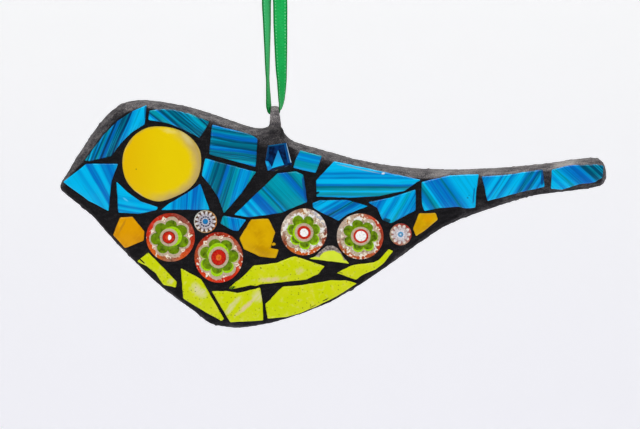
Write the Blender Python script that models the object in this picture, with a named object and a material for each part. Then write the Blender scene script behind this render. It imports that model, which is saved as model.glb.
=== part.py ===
"""A bird mosaic ornament: glass tiles set in black grout, hung from a ribbon.

Metres, +Z up. The tiles face -Y, the beak points to -X and the tail to +X. The origin is
the underside of the hanging loop's bar, where the ribbon bears.

The bird's outline and its tiles are a pattern sheet: their corners are read by hand off the
photograph, in its pixels, and BIRD_LENGTH gives the sheet its real size.
"""

import math
from dataclasses import dataclass

import bmesh
import bpy
from mathutils import Vector

MM = 0.001

# The bird
BIRD_LENGTH = 120 * MM
BODY_THICKNESS = 8 * MM
BACK_BEVEL = 0.6 * MM
SLOPE_DEPTH = 5 * MM

# The glass, and how it sits in the grout
SHEET_GLASS = 3 * MM
EYE_DISC_GLASS = 3.6 * MM
MILLEFIORI_GLASS = 3.4 * MM
GLASS_PROUD = 0.3 * MM
TILE_CLEARANCE = 0.15 * MM
EDGE_BREAK = 0.22 * MM
DISC_CROWN = 0.5 * MM
FACET_WIDTH = 0.9 * MM

# The hanging loop, seen edge on: a staple whose legs stand in the body
LOOP_RISE = 3.5 * MM
LOOP_HOLE_WIDTH = 3.8 * MM
LOOP_BAR = 1.0 * MM
LOOP_WIDTH_TOP = 1.6 * MM
LOOP_WIDTH_FOOT = 2.5 * MM
LOOP_CORNER = 1.4 * MM
LEG_DEPTH = 2.0 * MM
LEG_CLEARANCE = 0.15 * MM

# The ribbon
RIBBON_WIDTH = 3.2 * MM
RIBBON_THICKNESS = 0.3 * MM
KNOT_SIZE = (4.4 * MM, 3.6 * MM, 3.2 * MM)
TAIL_LENGTH = 6 * MM
TAIL_SPREAD = math.radians(24)

# The pattern sheet: the bird's length and the loop's foot in the photograph's pixels
SHEET_LENGTH = 546.6
LOOP_FOOT = (274.7, 126.5)
OUTLINE_STEPS = 3
ROUND_SIDES = 32

FRONT = -BODY_THICKNESS / 2
BACK = BODY_THICKNESS / 2
GLASS_FACE = FRONT - GLASS_PROUD

# Clockwise from the beak: x, y and the width of the grout's slope there
OUTLINE = [
    (60, 185.5, 3), (68, 171.5, 5), (76, 157.5, 9), (96.5, 127.5, 11), (108, 114, 11),
    (120, 105, 10), (133, 101, 8), (154, 101, 7), (190, 107.5, 6.5), (225, 118.5, 6),
    (246, 126, 6), (257, 128.5, 6), (266, 128, 4), (270.5, 126.5, 2.5), (281, 127, 2.5),
    (283.5, 132, 3), (289, 139, 5), (300, 144, 6), (334, 153.5, 7), (364, 161.5, 8),
    (407, 168, 9), (455, 170, 6), (501, 168, 6), (542, 164.5, 6), (582, 159, 5.5),
    (597, 158.5, 5), (603.5, 163, 4), (606.5, 172, 4), (605, 182, 4), (598, 187, 4),
    (572, 191, 6), (531, 196.5, 6), (494, 208, 8), (464, 218.5, 9), (445, 227, 10),
    (426, 239, 9), (387, 267, 5), (357, 287, 2.5), (332, 301.5, 2.5), (306, 312.5, 3),
    (275, 322.5, 3.5), (249, 327.5, 7), (232, 328.5, 7), (210, 324, 4), (195, 312.5, 6),
    (164, 290, 7), (137, 264.5, 3), (110, 236.5, 2.5), (90, 214.5, 9), (64, 193.5, 6),
]


@dataclass(frozen=True)
class Glass:
    """One kind of glass: how thick it is, how its face ends, and what it looks like."""

    name: str
    thickness: float
    edge: float
    rounds: int
    color: tuple[float, float, float]
    roughness: float = 0.12


BLUE = Glass("blue_glass", SHEET_GLASS, EDGE_BREAK, 1, (0.0, 0.36, 0.72))
NAVY = Glass("navy_glass", SHEET_GLASS, FACET_WIDTH, 1, (0.01, 0.07, 0.25))
LIME = Glass("lime_glass", SHEET_GLASS, EDGE_BREAK, 1, (0.62, 0.72, 0.01))
AMBER = Glass("amber_glass", SHEET_GLASS, EDGE_BREAK, 1, (0.76, 0.36, 0.0))
YELLOW = Glass("yellow_glass", EYE_DISC_GLASS, DISC_CROWN, 3, (0.80, 0.56, 0.0))
FLOWER = Glass("millefiori_glass", MILLEFIORI_GLASS, DISC_CROWN, 3, (0.42, 0.38, 0.12))


@dataclass(frozen=True)
class Tile:
    """A cut piece of glass, with the corners of its face on the pattern sheet."""

    name: str
    glass: Glass
    corners: list[tuple[float, float]]

    def face(self) -> list[Vector]:
        return counterclockwise([on_bird(x, y) for x, y in self.corners])


@dataclass(frozen=True)
class Slice:
    """A round slice of a glass cane, by its centre and its two radii on the pattern sheet."""

    name: str
    glass: Glass
    centre: tuple[float, float]
    radii: tuple[float, float]

    def face(self) -> list[Vector]:
        turns = [2 * math.pi * k / ROUND_SIDES for k in range(ROUND_SIDES)]
        (x, y), (across, up) = self.centre, self.radii
        return counterclockwise(
            [on_bird(x + across * math.cos(a), y + up * math.sin(a)) for a in turns]
        )


TILES = [
    Tile("blue_tile_brow", BLUE, [
        (86, 160), (94, 149), (105, 134.5), (118, 121.5), (133, 111.5), (147, 105.5),
        (145, 124.5), (133, 132), (121, 143.5), (112.5, 155.5), (91.5, 160.5),
    ]),
    Tile("blue_tile_crown", BLUE, [
        (149.5, 120), (150.5, 111), (162, 109.5), (174, 110), (190, 114), (209.5, 122),
        (200, 137.5), (184, 129.5), (168, 123),
    ]),
    Tile("blue_tile_nape", BLUE, [
        (213, 125), (249.5, 134), (257.5, 139), (255.5, 166.5), (210, 154),
    ]),
    Tile("blue_tile_cheek", BLUE, [
        (206, 158.5), (256, 172), (241, 193.5), (224.5, 212.5), (218.5, 197),
        (211.5, 186), (202.5, 175),
    ]),
    Tile("blue_tile_beak", BLUE, [
        (64.5, 182), (87.5, 164), (118.5, 164), (112, 181), (109, 210.5), (90, 200.5),
    ]),
    Tile("blue_tile_chin", BLUE, [
        (117.5, 182), (129, 192.5), (141, 201), (158, 206.5), (157, 209.5), (140, 213),
        (119.5, 212),
    ]),
    Tile("blue_tile_throat", BLUE, [
        (162, 209), (170, 203), (186.5, 193.5), (200.5, 184), (209.5, 209),
    ]),
    Tile("blue_tile_back", BLUE, [
        (300.5, 150.5), (321.5, 156), (315.5, 172.5), (294, 167.5), (296, 159),
    ]),
    Tile("blue_tile_shoulder", BLUE, [
        (235, 214), (262, 188.5), (277.5, 173.5), (295.5, 171.5), (303, 174.5),
        (307, 201.5), (291, 208), (282, 212), (266, 214.5), (250, 216.5),
    ]),
    Tile("blue_tile_breast", BLUE, [
        (224, 215.5), (246, 219.5), (238.5, 230), (233.5, 230), (221, 223),
    ]),
    Tile("blue_tile_wing_upper", BLUE, [
        (316.5, 180), (334.5, 161.5), (420, 179.5), (403.5, 190.5), (378, 195.5),
        (350, 197), (317, 196),
    ]),
    Tile("blue_tile_wing_lower", BLUE, [
        (313, 203), (320, 200.5), (347, 200), (367.5, 206), (348, 213.5), (338.5, 220),
        (320, 211.5), (313.5, 207.5),
    ]),
    Tile("blue_tile_wing_tip", BLUE, [
        (368.5, 202), (390, 197.5), (415, 189.5), (415, 210), (402, 216.5), (391, 222.5),
        (382.5, 219.5), (377, 207.5),
    ]),
    Tile("blue_tile_tail_root", BLUE, [
        (421.5, 182), (449, 175.5), (478, 174.5), (475.5, 190), (474.5, 207), (464, 208),
        (458, 206), (440, 207.5), (424.5, 210.5), (422, 204),
    ]),
    Tile("blue_tile_tail_middle", BLUE, [
        (481.5, 176.5), (505, 175), (541.5, 169.5), (543.5, 186.5), (521, 191.5),
        (487, 200.5), (484.5, 188),
    ]),
    Tile("blue_tile_tail_end", BLUE, [
        (551, 169.5), (568, 165.5), (596, 164.5), (602, 166), (601.5, 177), (593.5, 182),
        (577, 184), (562, 189), (550.5, 188),
    ]),
    Tile("dark_blue_faceted_tile", NAVY, [
        (268, 145.5), (286.5, 142.5), (291.5, 162), (292.5, 165.5), (288, 169.5), (278, 171),
        (267.5, 170.5), (265.5, 161),
    ]),
    Tile("yellow_eye_disc", YELLOW, [
        (122, 163.5), (124.5, 149.5), (133.5, 136.5), (147, 128.5), (162, 127),
        (178, 130), (191, 138), (199.5, 150), (201, 163.5), (198, 177), (190, 187.5),
        (177.5, 195), (161, 200.5), (148, 198), (135, 190.5), (125.5, 179),
    ]),
    Tile("amber_tile_breast", AMBER, [
        (121, 217.5), (133, 216.5), (144.5, 231), (144, 240), (125.5, 247.5), (114, 234.5),
    ]),
    Tile("amber_tile_middle", AMBER, [
        (251.5, 219.5), (268.5, 218.5), (275, 232), (270.5, 247.5), (278.5, 249),
        (275.5, 257.5), (260.5, 256), (244.5, 248.5), (240, 238),
    ]),
    Tile("amber_tile_rump", AMBER, [
        (419, 213.5), (435, 213), (437, 219.5), (425.5, 229), (416, 235.5), (413, 228),
    ]),
    Tile("lime_tile_breast", LIME, [
        (149, 252.5), (177, 281), (175.5, 286.5), (163.5, 284), (155.5, 272),
        (147, 265.5), (138, 261),
    ]),
    Tile("lime_tile_belly_front", LIME, [
        (181.5, 268), (201.5, 279), (224, 318), (221.5, 320), (205, 311), (184, 298),
    ]),
    Tile("lime_tile_belly_middle", LIME, [
        (212.5, 291), (227, 291), (238, 292.5), (250, 290), (260, 287.5), (262.5, 304),
        (263, 319.5), (230.5, 321.5),
    ]),
    Tile("lime_tile_belly_upper", LIME, [
        (229, 287), (243, 276.5), (254, 265.5), (277, 262.5), (294.5, 256), (324.5, 266),
        (318, 273.5), (306, 279), (262, 283.5), (257, 285), (251.5, 284.5), (232, 288.5),
    ]),
    Tile("lime_tile_belly_rear", LIME, [
        (266, 303.5), (283, 286.5), (298, 285.5), (330, 280.5), (345, 280.5),
        (356.5, 283), (338, 295), (319, 304.5), (301, 312), (287, 316), (268, 317.5),
    ]),
    Tile("lime_tile_rump", LIME, [
        (337, 272), (353, 264.5), (373, 262), (379, 259.5), (388, 249), (392.5, 251),
        (383, 263), (375, 269), (363.5, 273.5), (356.5, 278.5), (353, 278),
    ]),
    Tile("lime_tile_half_moon", LIME, [
        (309.5, 258), (315, 256), (321.5, 250), (326.5, 246), (332.5, 245.5),
        (337, 247.5), (340.5, 252), (344, 257.5), (349, 263),
    ]),
    Slice("millefiori_breast", FLOWER, (171, 237), (24, 24)),
    Slice("millefiori_belly", FLOWER, (219, 257), (24, 25)),
    Slice("millefiori_back", FLOWER, (304, 231.5), (23, 23)),
    Slice("millefiori_rump", FLOWER, (360, 236), (23, 23)),
    Slice("small_millefiori_breast", FLOWER, (206.5, 221.5), (10, 10)),
    Slice("small_millefiori_rump", FLOWER, (401, 234.5), (10, 10.5)),
]

# The ribbon's route: x and z in metres, and how far its face is turned from the viewer's
RIBBON_ROUTE = [
    (-0.9 * MM, 26.6 * MM, 55), (-1.75 * MM, 24.6 * MM, 53), (-1.7 * MM, 19 * MM, 60),
    (-1.65 * MM, 14 * MM, 68), (-1.6 * MM, 9 * MM, 80), (-1.55 * MM, 6.5 * MM, 88),
    (-1.4 * MM, 3 * MM, 96), (-1.3 * MM, 0.9 * MM, 93), (-1.0 * MM, -0.2 * MM, 90),
    (0, -0.42 * MM, 90), (1.0 * MM, -0.2 * MM, 90), (1.35 * MM, 0.9 * MM, 80),
    (1.5 * MM, 3 * MM, 68), (1.55 * MM, 6.5 * MM, 55), (1.45 * MM, 9 * MM, 46),
    (1.35 * MM, 14 * MM, 31), (1.25 * MM, 19 * MM, 19), (1.15 * MM, 24.6 * MM, 12),
    (0.5 * MM, 26.6 * MM, 15),
]
RIBBON_STEPS = 4
KNOT_CENTRE = (-0.3 * MM, 27.6 * MM)


def on_bird(x: float, y: float) -> Vector:
    """A place on the pattern sheet, as x and z on the bird."""
    size = BIRD_LENGTH / SHEET_LENGTH
    return Vector(((x - LOOP_FOOT[0]) * size, (LOOP_FOOT[1] - y) * size - LOOP_RISE))


def counterclockwise(points: list[Vector]) -> list[Vector]:
    around = zip(points, points[1:] + points[:1])
    area = sum(a.x * b.y - b.x * a.y for a, b in around)
    return points if area > 0 else points[::-1]


def curve_through(points: list[tuple], steps: int, closed: bool) -> list[tuple]:
    """A smooth curve through the points, with this many steps between two of them."""
    count = len(points)
    found = []
    for i in range(count if closed else count - 1):
        if closed:
            a, b, c, d = (points[(i + k) % count] for k in (-1, 0, 1, 2))
        else:
            a, b, c, d = (points[min(max(i + k, 0), count - 1)] for k in (-1, 0, 1, 2))
        for t in (k / steps for k in range(steps)):
            found.append(tuple(
                q + t * (r - p + t * (2 * p - 5 * q + 4 * r - s + t * (3 * q - p - 3 * r + s))) / 2
                for p, q, r, s in zip(a, b, c, d)
            ))
    return found if closed else found + [points[-1]]


def grown(points: list[Vector], distances: list[float]) -> list[Vector]:
    """The closed outline with each corner moved out by its distance, or in if that is negative."""
    count = len(points)
    moved = []
    for i, distance in enumerate(distances):
        before = (points[i] - points[i - 1]).normalized()
        after = (points[(i + 1) % count] - points[i]).normalized()
        out = Vector((before.y, -before.x)) + Vector((after.y, -after.x))
        moved.append(points[i] + out * distance / max(1 + before.dot(after), 0.35))
    return moved


def evenly(points: list[Vector], distance: float) -> list[Vector]:
    return grown(points, [distance] * len(points))


def lofted(rings: list[list[Vector]]) -> bmesh.types.BMesh:
    """A closed solid through rings that run counterclockwise round the way they advance."""
    mesh = bmesh.new()
    made = [[mesh.verts.new(point) for point in ring] for ring in rings]
    count = len(made[0])
    for back, front in zip(made, made[1:]):
        for i in range(count):
            j = (i + 1) % count
            mesh.faces.new((back[i], back[j], front[j], front[i]))
    mesh.faces.new(made[0][::-1])
    mesh.faces.new(made[-1])
    return mesh


def layered(layers: list[tuple[list[Vector], float]]) -> bmesh.types.BMesh:
    """A solid built up from flat outlines, each at its own y, from the back to the front."""
    return lofted([[Vector((p.x, y, p.y)) for p in outline] for outline, y in layers])


def add_material(name: str, color: tuple[float, float, float], roughness: float):
    material = bpy.data.materials.get(name) or bpy.data.materials.new(name)
    material.use_nodes = True
    shader = material.node_tree.nodes["Principled BSDF"]
    shader.inputs["Base Color"].default_value = (*color, 1.0)
    shader.inputs["Roughness"].default_value = roughness
    shader.inputs["Metallic"].default_value = 0.0
    return material


def add_object(name: str, mesh: bmesh.types.BMesh, parent, material=None, place=None):
    """An object of this mesh, whose own origin is at place."""
    place = place or Vector((0, 0, 0))
    bmesh.ops.translate(mesh, verts=mesh.verts, vec=-place)
    data = bpy.data.meshes.new(name)
    mesh.to_mesh(data)
    mesh.free()
    thing = bpy.data.objects.new(name, data)
    bpy.context.scene.collection.objects.link(thing)
    thing.location = place
    thing.parent = parent
    if material:
        data.materials.append(material)
    return thing


def combine(thing, other, operation: str) -> None:
    """Cut the other object out of this one, or join it on, and keep it as a hidden helper."""
    step = thing.modifiers.new(other.name, "BOOLEAN")
    step.operation = operation
    step.solver = "EXACT"
    step.object = other
    other.hide_render = True
    other.display_type = "WIRE"


def add_glass(tile: Tile | Slice, parent) -> None:
    """A tile whose face has a broken, faceted or rounded edge."""
    glass, face = tile.glass, tile.face()
    layers = [(face, GLASS_FACE + glass.thickness)]
    for k in range(glass.rounds + 1):
        turn = math.pi / 2 * k / glass.rounds
        inset = glass.edge * (1 - math.cos(turn))
        rise = glass.edge * math.sin(turn)
        layers.append((evenly(face, -inset), GLASS_FACE + glass.edge - rise))
    centre = sum(face, Vector((0, 0))) / len(face)
    add_object(
        tile.name,
        layered(layers),
        parent,
        add_material(glass.name, glass.color, glass.roughness),
        Vector((centre.x, GLASS_FACE, centre.y)),
    )


def pocket(tile: Tile | Slice) -> bmesh.types.BMesh:
    """The room that a tile takes out of the grout."""
    room = evenly(tile.face(), TILE_CLEARANCE)
    floor = GLASS_FACE + tile.glass.thickness + TILE_CLEARANCE
    return layered([(room, floor), (room, FRONT - BODY_THICKNESS / 4)])


def bird_shape() -> bmesh.types.BMesh:
    """The bird's body without its pockets: a flat back, and grout that slopes to the face."""
    sheet = curve_through(OUTLINE[::-1], OUTLINE_STEPS, closed=True)
    size = BIRD_LENGTH / SHEET_LENGTH
    outline = [on_bird(x, y) for x, y, _ in sheet]
    slopes = [width * size for _, _, width in sheet]
    layers = [(evenly(outline, -BACK_BEVEL), BACK), (outline, BACK - BACK_BEVEL)]
    for turn in (math.radians(angle) for angle in (0, 25, 50, 90)):
        inward = [-slope * (1 - math.cos(turn)) for slope in slopes]
        layers.append((grown(outline, inward), FRONT + SLOPE_DEPTH * (1 - math.sin(turn))))
    return layered(layers)


def loop_route() -> list[Vector]:
    """The middle of the loop's bar as y and z, up one leg, over the top and down the other."""
    half = (LOOP_HOLE_WIDTH + LOOP_BAR) / 2
    top, foot = LOOP_BAR / 2, -LOOP_RISE - LEG_DEPTH
    route = [Vector((-half, foot)), Vector((-half, -LOOP_RISE))]
    for k in range(7):
        turn = math.pi / 2 * k / 6
        route.append(Vector((
            -half + LOOP_CORNER * (1 - math.cos(turn)),
            top - LOOP_CORNER * (1 - math.sin(turn)),
        )))
    return route + [Vector((-p.x, p.y)) for p in reversed(route)]


def bar_sections(route: list[Vector], extra: float) -> list[list[Vector]]:
    """Oval sections across the loop's bar, wider towards its foot."""
    sections = []
    for i, place in enumerate(route):
        along = (route[min(i + 1, len(route) - 1)] - route[max(i - 1, 0)]).normalized()
        across = Vector((-along.y, along.x))
        fall = min(max(-place.y / LOOP_RISE, 0), 1)
        width = LOOP_WIDTH_TOP + (LOOP_WIDTH_FOOT - LOOP_WIDTH_TOP) * fall
        section = []
        for turn in (2 * math.pi * k / 12 for k in range(12)):
            side = across * math.cos(turn) * (LOOP_BAR / 2 + extra)
            wide = math.sin(turn) * (width / 2 + extra)
            section.append(Vector((wide, place.x + side.x, place.y + side.y)))
        sections.append(section)
    return sections


def add_hanging_loop(parent) -> None:
    add_object(
        "hanging_loop",
        lofted(bar_sections(loop_route(), 0)),
        parent,
        add_material("grout_smear", (0.13, 0.12, 0.12), 0.9),
    )


def leg_socket(side: int) -> bmesh.types.BMesh:
    """The room that one leg of the loop takes out of the body."""
    half = side * (LOOP_HOLE_WIDTH + LOOP_BAR) / 2
    low = -LOOP_RISE - LEG_DEPTH - LEG_CLEARANCE
    return lofted(bar_sections(
        [Vector((half, low)), Vector((half, -LOOP_RISE + BACK_BEVEL))], LEG_CLEARANCE
    ))


def add_body(parent) -> None:
    body = add_object(
        "grouted_body", bird_shape(), parent, add_material("black_grout", (0.02, 0.02, 0.02), 0.95)
    )
    rooms = [pocket(tile) for tile in TILES] + [leg_socket(-1), leg_socket(1)]
    together = bmesh.new()
    for room in rooms:
        data = bpy.data.meshes.new("room")
        room.to_mesh(data)
        room.free()
        together.from_mesh(data)
        bpy.data.meshes.remove(data)
    combine(body, add_object("pocket_cutter", together, parent), "DIFFERENCE")


def ribbon_band(route: list[tuple]) -> bmesh.types.BMesh:
    """A flat band along a route of x, y, z and turn."""
    places = [Vector(point[:3]) for point in route]
    rings = []
    for i, place in enumerate(places):
        along = (places[min(i + 1, len(places) - 1)] - places[max(i - 1, 0)]).normalized()
        turn = math.radians(route[i][3])
        wide = Vector((math.cos(turn), math.sin(turn), 0))
        wide = (wide - along * wide.dot(along)).normalized()
        thick = along.cross(wide) * RIBBON_THICKNESS / 2
        wide *= RIBBON_WIDTH / 2
        rings.append([place - wide - thick, place + wide - thick,
                      place + wide + thick, place - wide + thick])
    return lofted(rings)


def knot_shape() -> bmesh.types.BMesh:
    mesh = bmesh.new()
    bmesh.ops.create_icosphere(mesh, subdivisions=2, radius=0.5)
    bmesh.ops.scale(mesh, verts=mesh.verts, vec=KNOT_SIZE)
    bmesh.ops.translate(mesh, verts=mesh.verts, vec=(KNOT_CENTRE[0], 0, KNOT_CENTRE[1]))
    return mesh


def tail_route(side: int) -> list[tuple]:
    """One cut end of the ribbon, out of the knot's top."""
    x, z = KNOT_CENTRE
    places = []
    for share in (0.0, 0.35, 0.7, 1.0):
        lean = TAIL_SPREAD * (0.4 + 0.6 * share)
        reach = TAIL_LENGTH * share
        places.append((
            x + side * (KNOT_SIZE[0] / 5 + reach * math.sin(lean)),
            side * KNOT_SIZE[1] / 6,
            z + KNOT_SIZE[2] / 4 + reach * math.cos(lean),
            side * 20,
        ))
    return places


def add_ribbon(parent) -> None:
    route = curve_through(RIBBON_ROUTE, RIBBON_STEPS, closed=False)
    satin = add_material("green_satin", (0.01, 0.35, 0.08), 0.4)
    ribbon = add_object(
        "ribbon", ribbon_band([(x, 0, z, turn) for x, z, turn in route]), parent, satin
    )
    combine(ribbon, add_object("knot_helper", knot_shape(), parent), "UNION")
    for side in (-1, 1):
        tail = add_object(f"tail_helper_{side + 2}", ribbon_band(tail_route(side)), parent)
        combine(ribbon, tail, "UNION")


def main() -> None:
    for thing in list(bpy.data.objects):
        bpy.data.objects.remove(thing, do_unlink=True)
    ornament = bpy.data.objects.new("bird_mosaic_ornament", None)
    bpy.context.scene.collection.objects.link(ornament)
    add_body(ornament)
    for tile in TILES:
        add_glass(tile, ornament)
    add_hanging_loop(ornament)
    add_ribbon(ornament)


main()
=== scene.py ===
"""Looks of the bird mosaic ornament: streaked glass, cane slices, grout and a ribbon.

Metres, +Z up, and the tiles face -Y. Places that are read off the photograph are in its pixels:
on_bird() takes them to the bird, at the scale of the pattern sheet in the part's own source.
"""

import logging
import math
from collections.abc import Callable, Sequence
from dataclasses import dataclass, field
from enum import Enum
from functools import cache
from typing import ClassVar

import bmesh
import bpy
import numpy as np
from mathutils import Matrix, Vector, noise


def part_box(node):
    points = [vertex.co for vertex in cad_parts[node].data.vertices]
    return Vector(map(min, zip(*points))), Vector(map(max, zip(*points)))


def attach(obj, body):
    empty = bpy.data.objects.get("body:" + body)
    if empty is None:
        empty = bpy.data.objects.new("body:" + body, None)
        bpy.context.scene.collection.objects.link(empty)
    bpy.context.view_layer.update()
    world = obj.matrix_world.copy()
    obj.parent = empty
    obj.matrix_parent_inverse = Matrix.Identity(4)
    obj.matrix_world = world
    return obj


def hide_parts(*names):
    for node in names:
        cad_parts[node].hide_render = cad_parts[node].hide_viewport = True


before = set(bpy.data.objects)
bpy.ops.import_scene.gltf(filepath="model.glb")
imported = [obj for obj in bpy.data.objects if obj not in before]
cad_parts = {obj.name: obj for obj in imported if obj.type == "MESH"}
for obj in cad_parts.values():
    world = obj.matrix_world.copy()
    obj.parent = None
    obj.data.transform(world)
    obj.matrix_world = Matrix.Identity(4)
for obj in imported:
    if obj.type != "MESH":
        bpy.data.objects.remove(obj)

log = logging.getLogger("bird_mosaic_ornament")

MM = 0.001
BIRD_LENGTH = 120 * MM
SHEET_LENGTH = 546.6
LOOP_FOOT = (274.7, 126.5)
LOOP_RISE = 3.5 * MM
PIXEL = BIRD_LENGTH / SHEET_LENGTH
GROUT_FACE = -4.0 * MM
GLASS_FACE = -4.3 * MM
WELD = 0.002 * MM

Thing = bpy.types.Object
Mesh = bmesh.types.BMesh
Material = bpy.types.Material
Socket = bpy.types.NodeSocket
Place = tuple[float, float]


def on_bird(place: Place, y: float = GLASS_FACE) -> Vector:
    """A place in the photograph, on the bird at this depth.

    Args:
        place: Its pixel, from the left and from the top.
        y: How far back it lies, in metres.

    Returns:
        The same place in the object's frame.
    """
    x, down = place
    return Vector(((x - LOOP_FOOT[0]) * PIXEL, y, (LOOP_FOOT[1] - down) * PIXEL - LOOP_RISE))


def paint(code: str) -> tuple[float, float, float, float]:
    """A colour written as #RRGGBB, as Blender's own linear colour.

    Args:
        code: The colour as it looks on a screen.

    Returns:
        Linear red, green and blue, and an alpha of 1.
    """
    shades = (int(code[k:k + 2], 16) / 255 for k in (1, 3, 5))
    linear = [s / 12.92 if s <= 0.04045 else ((s + 0.055) / 1.055) ** 2.4 for s in shades]
    return (*linear, 1.0)


def wander(place: Vector, grain: float) -> float:
    """Smooth noise from -1 to 1 at a place, the same in each run.

    Args:
        place: Where it is read, in metres.
        grain: The size of its bumps, in metres.

    Returns:
        The noise there.
    """
    return noise.noise(Vector(place) / grain)


# Node graphs.


@dataclass
class Graph:
    """Adds nodes to one node tree and joins them."""

    tree: bpy.types.NodeTree

    def add(self, kind: str, **settings: object) -> bpy.types.Node:
        """A new node of this kind, with its settings.

        Args:
            kind: The node's type name.
            settings: Its properties.

        Returns:
            The node.
        """
        node = self.tree.nodes.new(kind)
        for name, value in settings.items():
            setattr(node, name, value)
        return node

    def feed(self, socket: Socket, value: object) -> None:
        """Link a socket to what feeds it, or set its value.

        Args:
            socket: The input.
            value: Another node's output, a number, a vector, or a colour as #RRGGBB.
        """
        if isinstance(value, bpy.types.NodeSocket):
            self.tree.links.new(value, socket)
        else:
            socket.default_value = paint(value) if isinstance(value, str) else value

    def calc(self, operation: str, *values: object) -> Socket:
        """One step of arithmetic.

        Args:
            operation: The Math node's operation.
            values: Its inputs, in order.

        Returns:
            The result.
        """
        node = self.add("ShaderNodeMath", operation=operation)
        for socket, value in zip(node.inputs, values):
            self.feed(socket, value)
        return node.outputs[0]

    def times(self, first: object, second: object) -> Socket:
        """One value times another."""
        return self.calc("MULTIPLY", first, second)

    def plus(self, first: object, second: object) -> Socket:
        """One value plus another."""
        return self.calc("ADD", first, second)

    def minus(self, first: object, second: object) -> Socket:
        """One value less another."""
        return self.calc("SUBTRACT", first, second)

    def length(self, across: Socket, up: Socket) -> Socket:
        """How far a point is from the middle of two coordinates."""
        return self.calc("SQRT", self.calc("MULTIPLY_ADD", across, across, self.times(up, up)))

    def rise(self, value: object, low: object, high: object, share: object = None) -> Socket:
        """A smooth step from 0 at low to 1 at high.

        Args:
            value: What is compared.
            low: Where the step starts.
            high: Where it ends, above or below low.
            share: What the step is multiplied by, if by anything.

        Returns:
            The step.
        """
        node = self.add("ShaderNodeMapRange", interpolation_type="SMOOTHSTEP")
        for name, part in (("Value", value), ("From Min", low), ("From Max", high)):
            self.feed(node.inputs[name], part)
        step = node.outputs["Result"]
        return step if share is None else self.times(step, share)

    def blend(self, share: object, below: object, above: object, mode: str = "MIX") -> Socket:
        """One colour over another.

        Args:
            share: How much of the upper one shows.
            below: The lower colour.
            above: The upper colour.
            mode: The Mix node's blend type.

        Returns:
            The blended colour.
        """
        node = self.add("ShaderNodeMix", data_type="RGBA", blend_type=mode)
        self.feed(node.inputs[0], share)
        self.feed(node.inputs[6], below)
        self.feed(node.inputs[7], above)
        return node.outputs[2]

    def cloud(self, vector: Socket, scale: float, detail: float = 2.0) -> Socket:
        """Noise from 0 to 1.

        Args:
            vector: Where it is read.
            scale: Bumps in one unit of the vector.
            detail: Its octaves.

        Returns:
            The noise.
        """
        node = self.add("ShaderNodeTexNoise")
        self.feed(node.inputs["Vector"], vector)
        self.feed(node.inputs["Scale"], scale)
        node.inputs["Detail"].default_value = detail
        return node.outputs["Fac"]

    def local(self, vector: Socket, place: Sequence[float], turn: float,
              size: Sequence[float]) -> Socket:
        """Coordinates from a place, along a turned direction, in units of a size.

        Args:
            vector: The coordinates to start from.
            place: The new zero.
            turn: The new X direction, in degrees up from +X as the tiles are seen.
            size: What counts as 1 along the new X, Y and Z.

        Returns:
            The new coordinates.
        """
        node = self.add("ShaderNodeMapping", vector_type="TEXTURE")
        self.feed(node.inputs["Vector"], vector)
        node.inputs["Location"].default_value = tuple(place)
        node.inputs["Rotation"].default_value = (0, -math.radians(turn), 0)
        node.inputs["Scale"].default_value = tuple(size)
        return node.outputs["Vector"]

    def parts(self, vector: Socket) -> tuple[Socket, Socket, Socket]:
        """A vector's x, y and z.

        Args:
            vector: The vector.

        Returns:
            Its three parts.
        """
        node = self.add("ShaderNodeSeparateXYZ")
        self.feed(node.inputs[0], vector)
        return tuple(node.outputs)

    def joined(self, *values: object) -> Socket:
        """A vector of x, y and z.

        Args:
            values: The three parts.

        Returns:
            The vector.
        """
        node = self.add("ShaderNodeCombineXYZ")
        for socket, value in zip(node.inputs, values):
            self.feed(socket, value)
        return node.outputs[0]

    def bands(self, position: Socket, stops: Sequence[tuple[float, str]]) -> Socket:
        """Colours along a line.

        Args:
            position: Where on the line, from 0 to 1.
            stops: Where each colour is reached, and the colour.

        Returns:
            The colour there.
        """
        node = self.add("ShaderNodeValToRGB")
        elements = node.color_ramp.elements
        while len(elements) < len(stops):
            elements.new(1.0)
        for element, (where, code) in zip(elements, stops):
            element.position = where
            element.color = paint(code)
        self.feed(node.inputs[0], position)
        return node.outputs[0]


class Effect(Graph):
    """A shared effect: a node group that is built once and placed in each material."""

    def __init__(self, name: str, takes: dict[str, float | None], gives: Sequence[str]) -> None:
        """Make the empty group.

        Args:
            name: The group's name.
            takes: Its inputs and what they start at, or None for a vector.
            gives: Its outputs, all numbers.
        """
        super().__init__(bpy.data.node_groups.new(name, "ShaderNodeTree"))
        for label, start in takes.items():
            kind = "NodeSocketVector" if start is None else "NodeSocketFloat"
            socket = self.tree.interface.new_socket(label, in_out="INPUT", socket_type=kind)
            if start is not None:
                socket.default_value = start
        for label in gives:
            self.tree.interface.new_socket(label, in_out="OUTPUT", socket_type="NodeSocketFloat")
        self.source = self.add("NodeGroupInput").outputs
        self.sink = self.add("NodeGroupOutput").inputs

    def place_in(self, graph: Graph, **values: object) -> dict[str, Socket]:
        """Place the group in a material.

        Args:
            graph: The material's graph.
            values: What its inputs take, by their names.

        Returns:
            Its outputs by name.
        """
        node = graph.add("ShaderNodeGroup", node_tree=self.tree)
        for label, value in values.items():
            graph.feed(node.inputs[label], value)
        return {socket.name: socket for socket in node.outputs}


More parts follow.
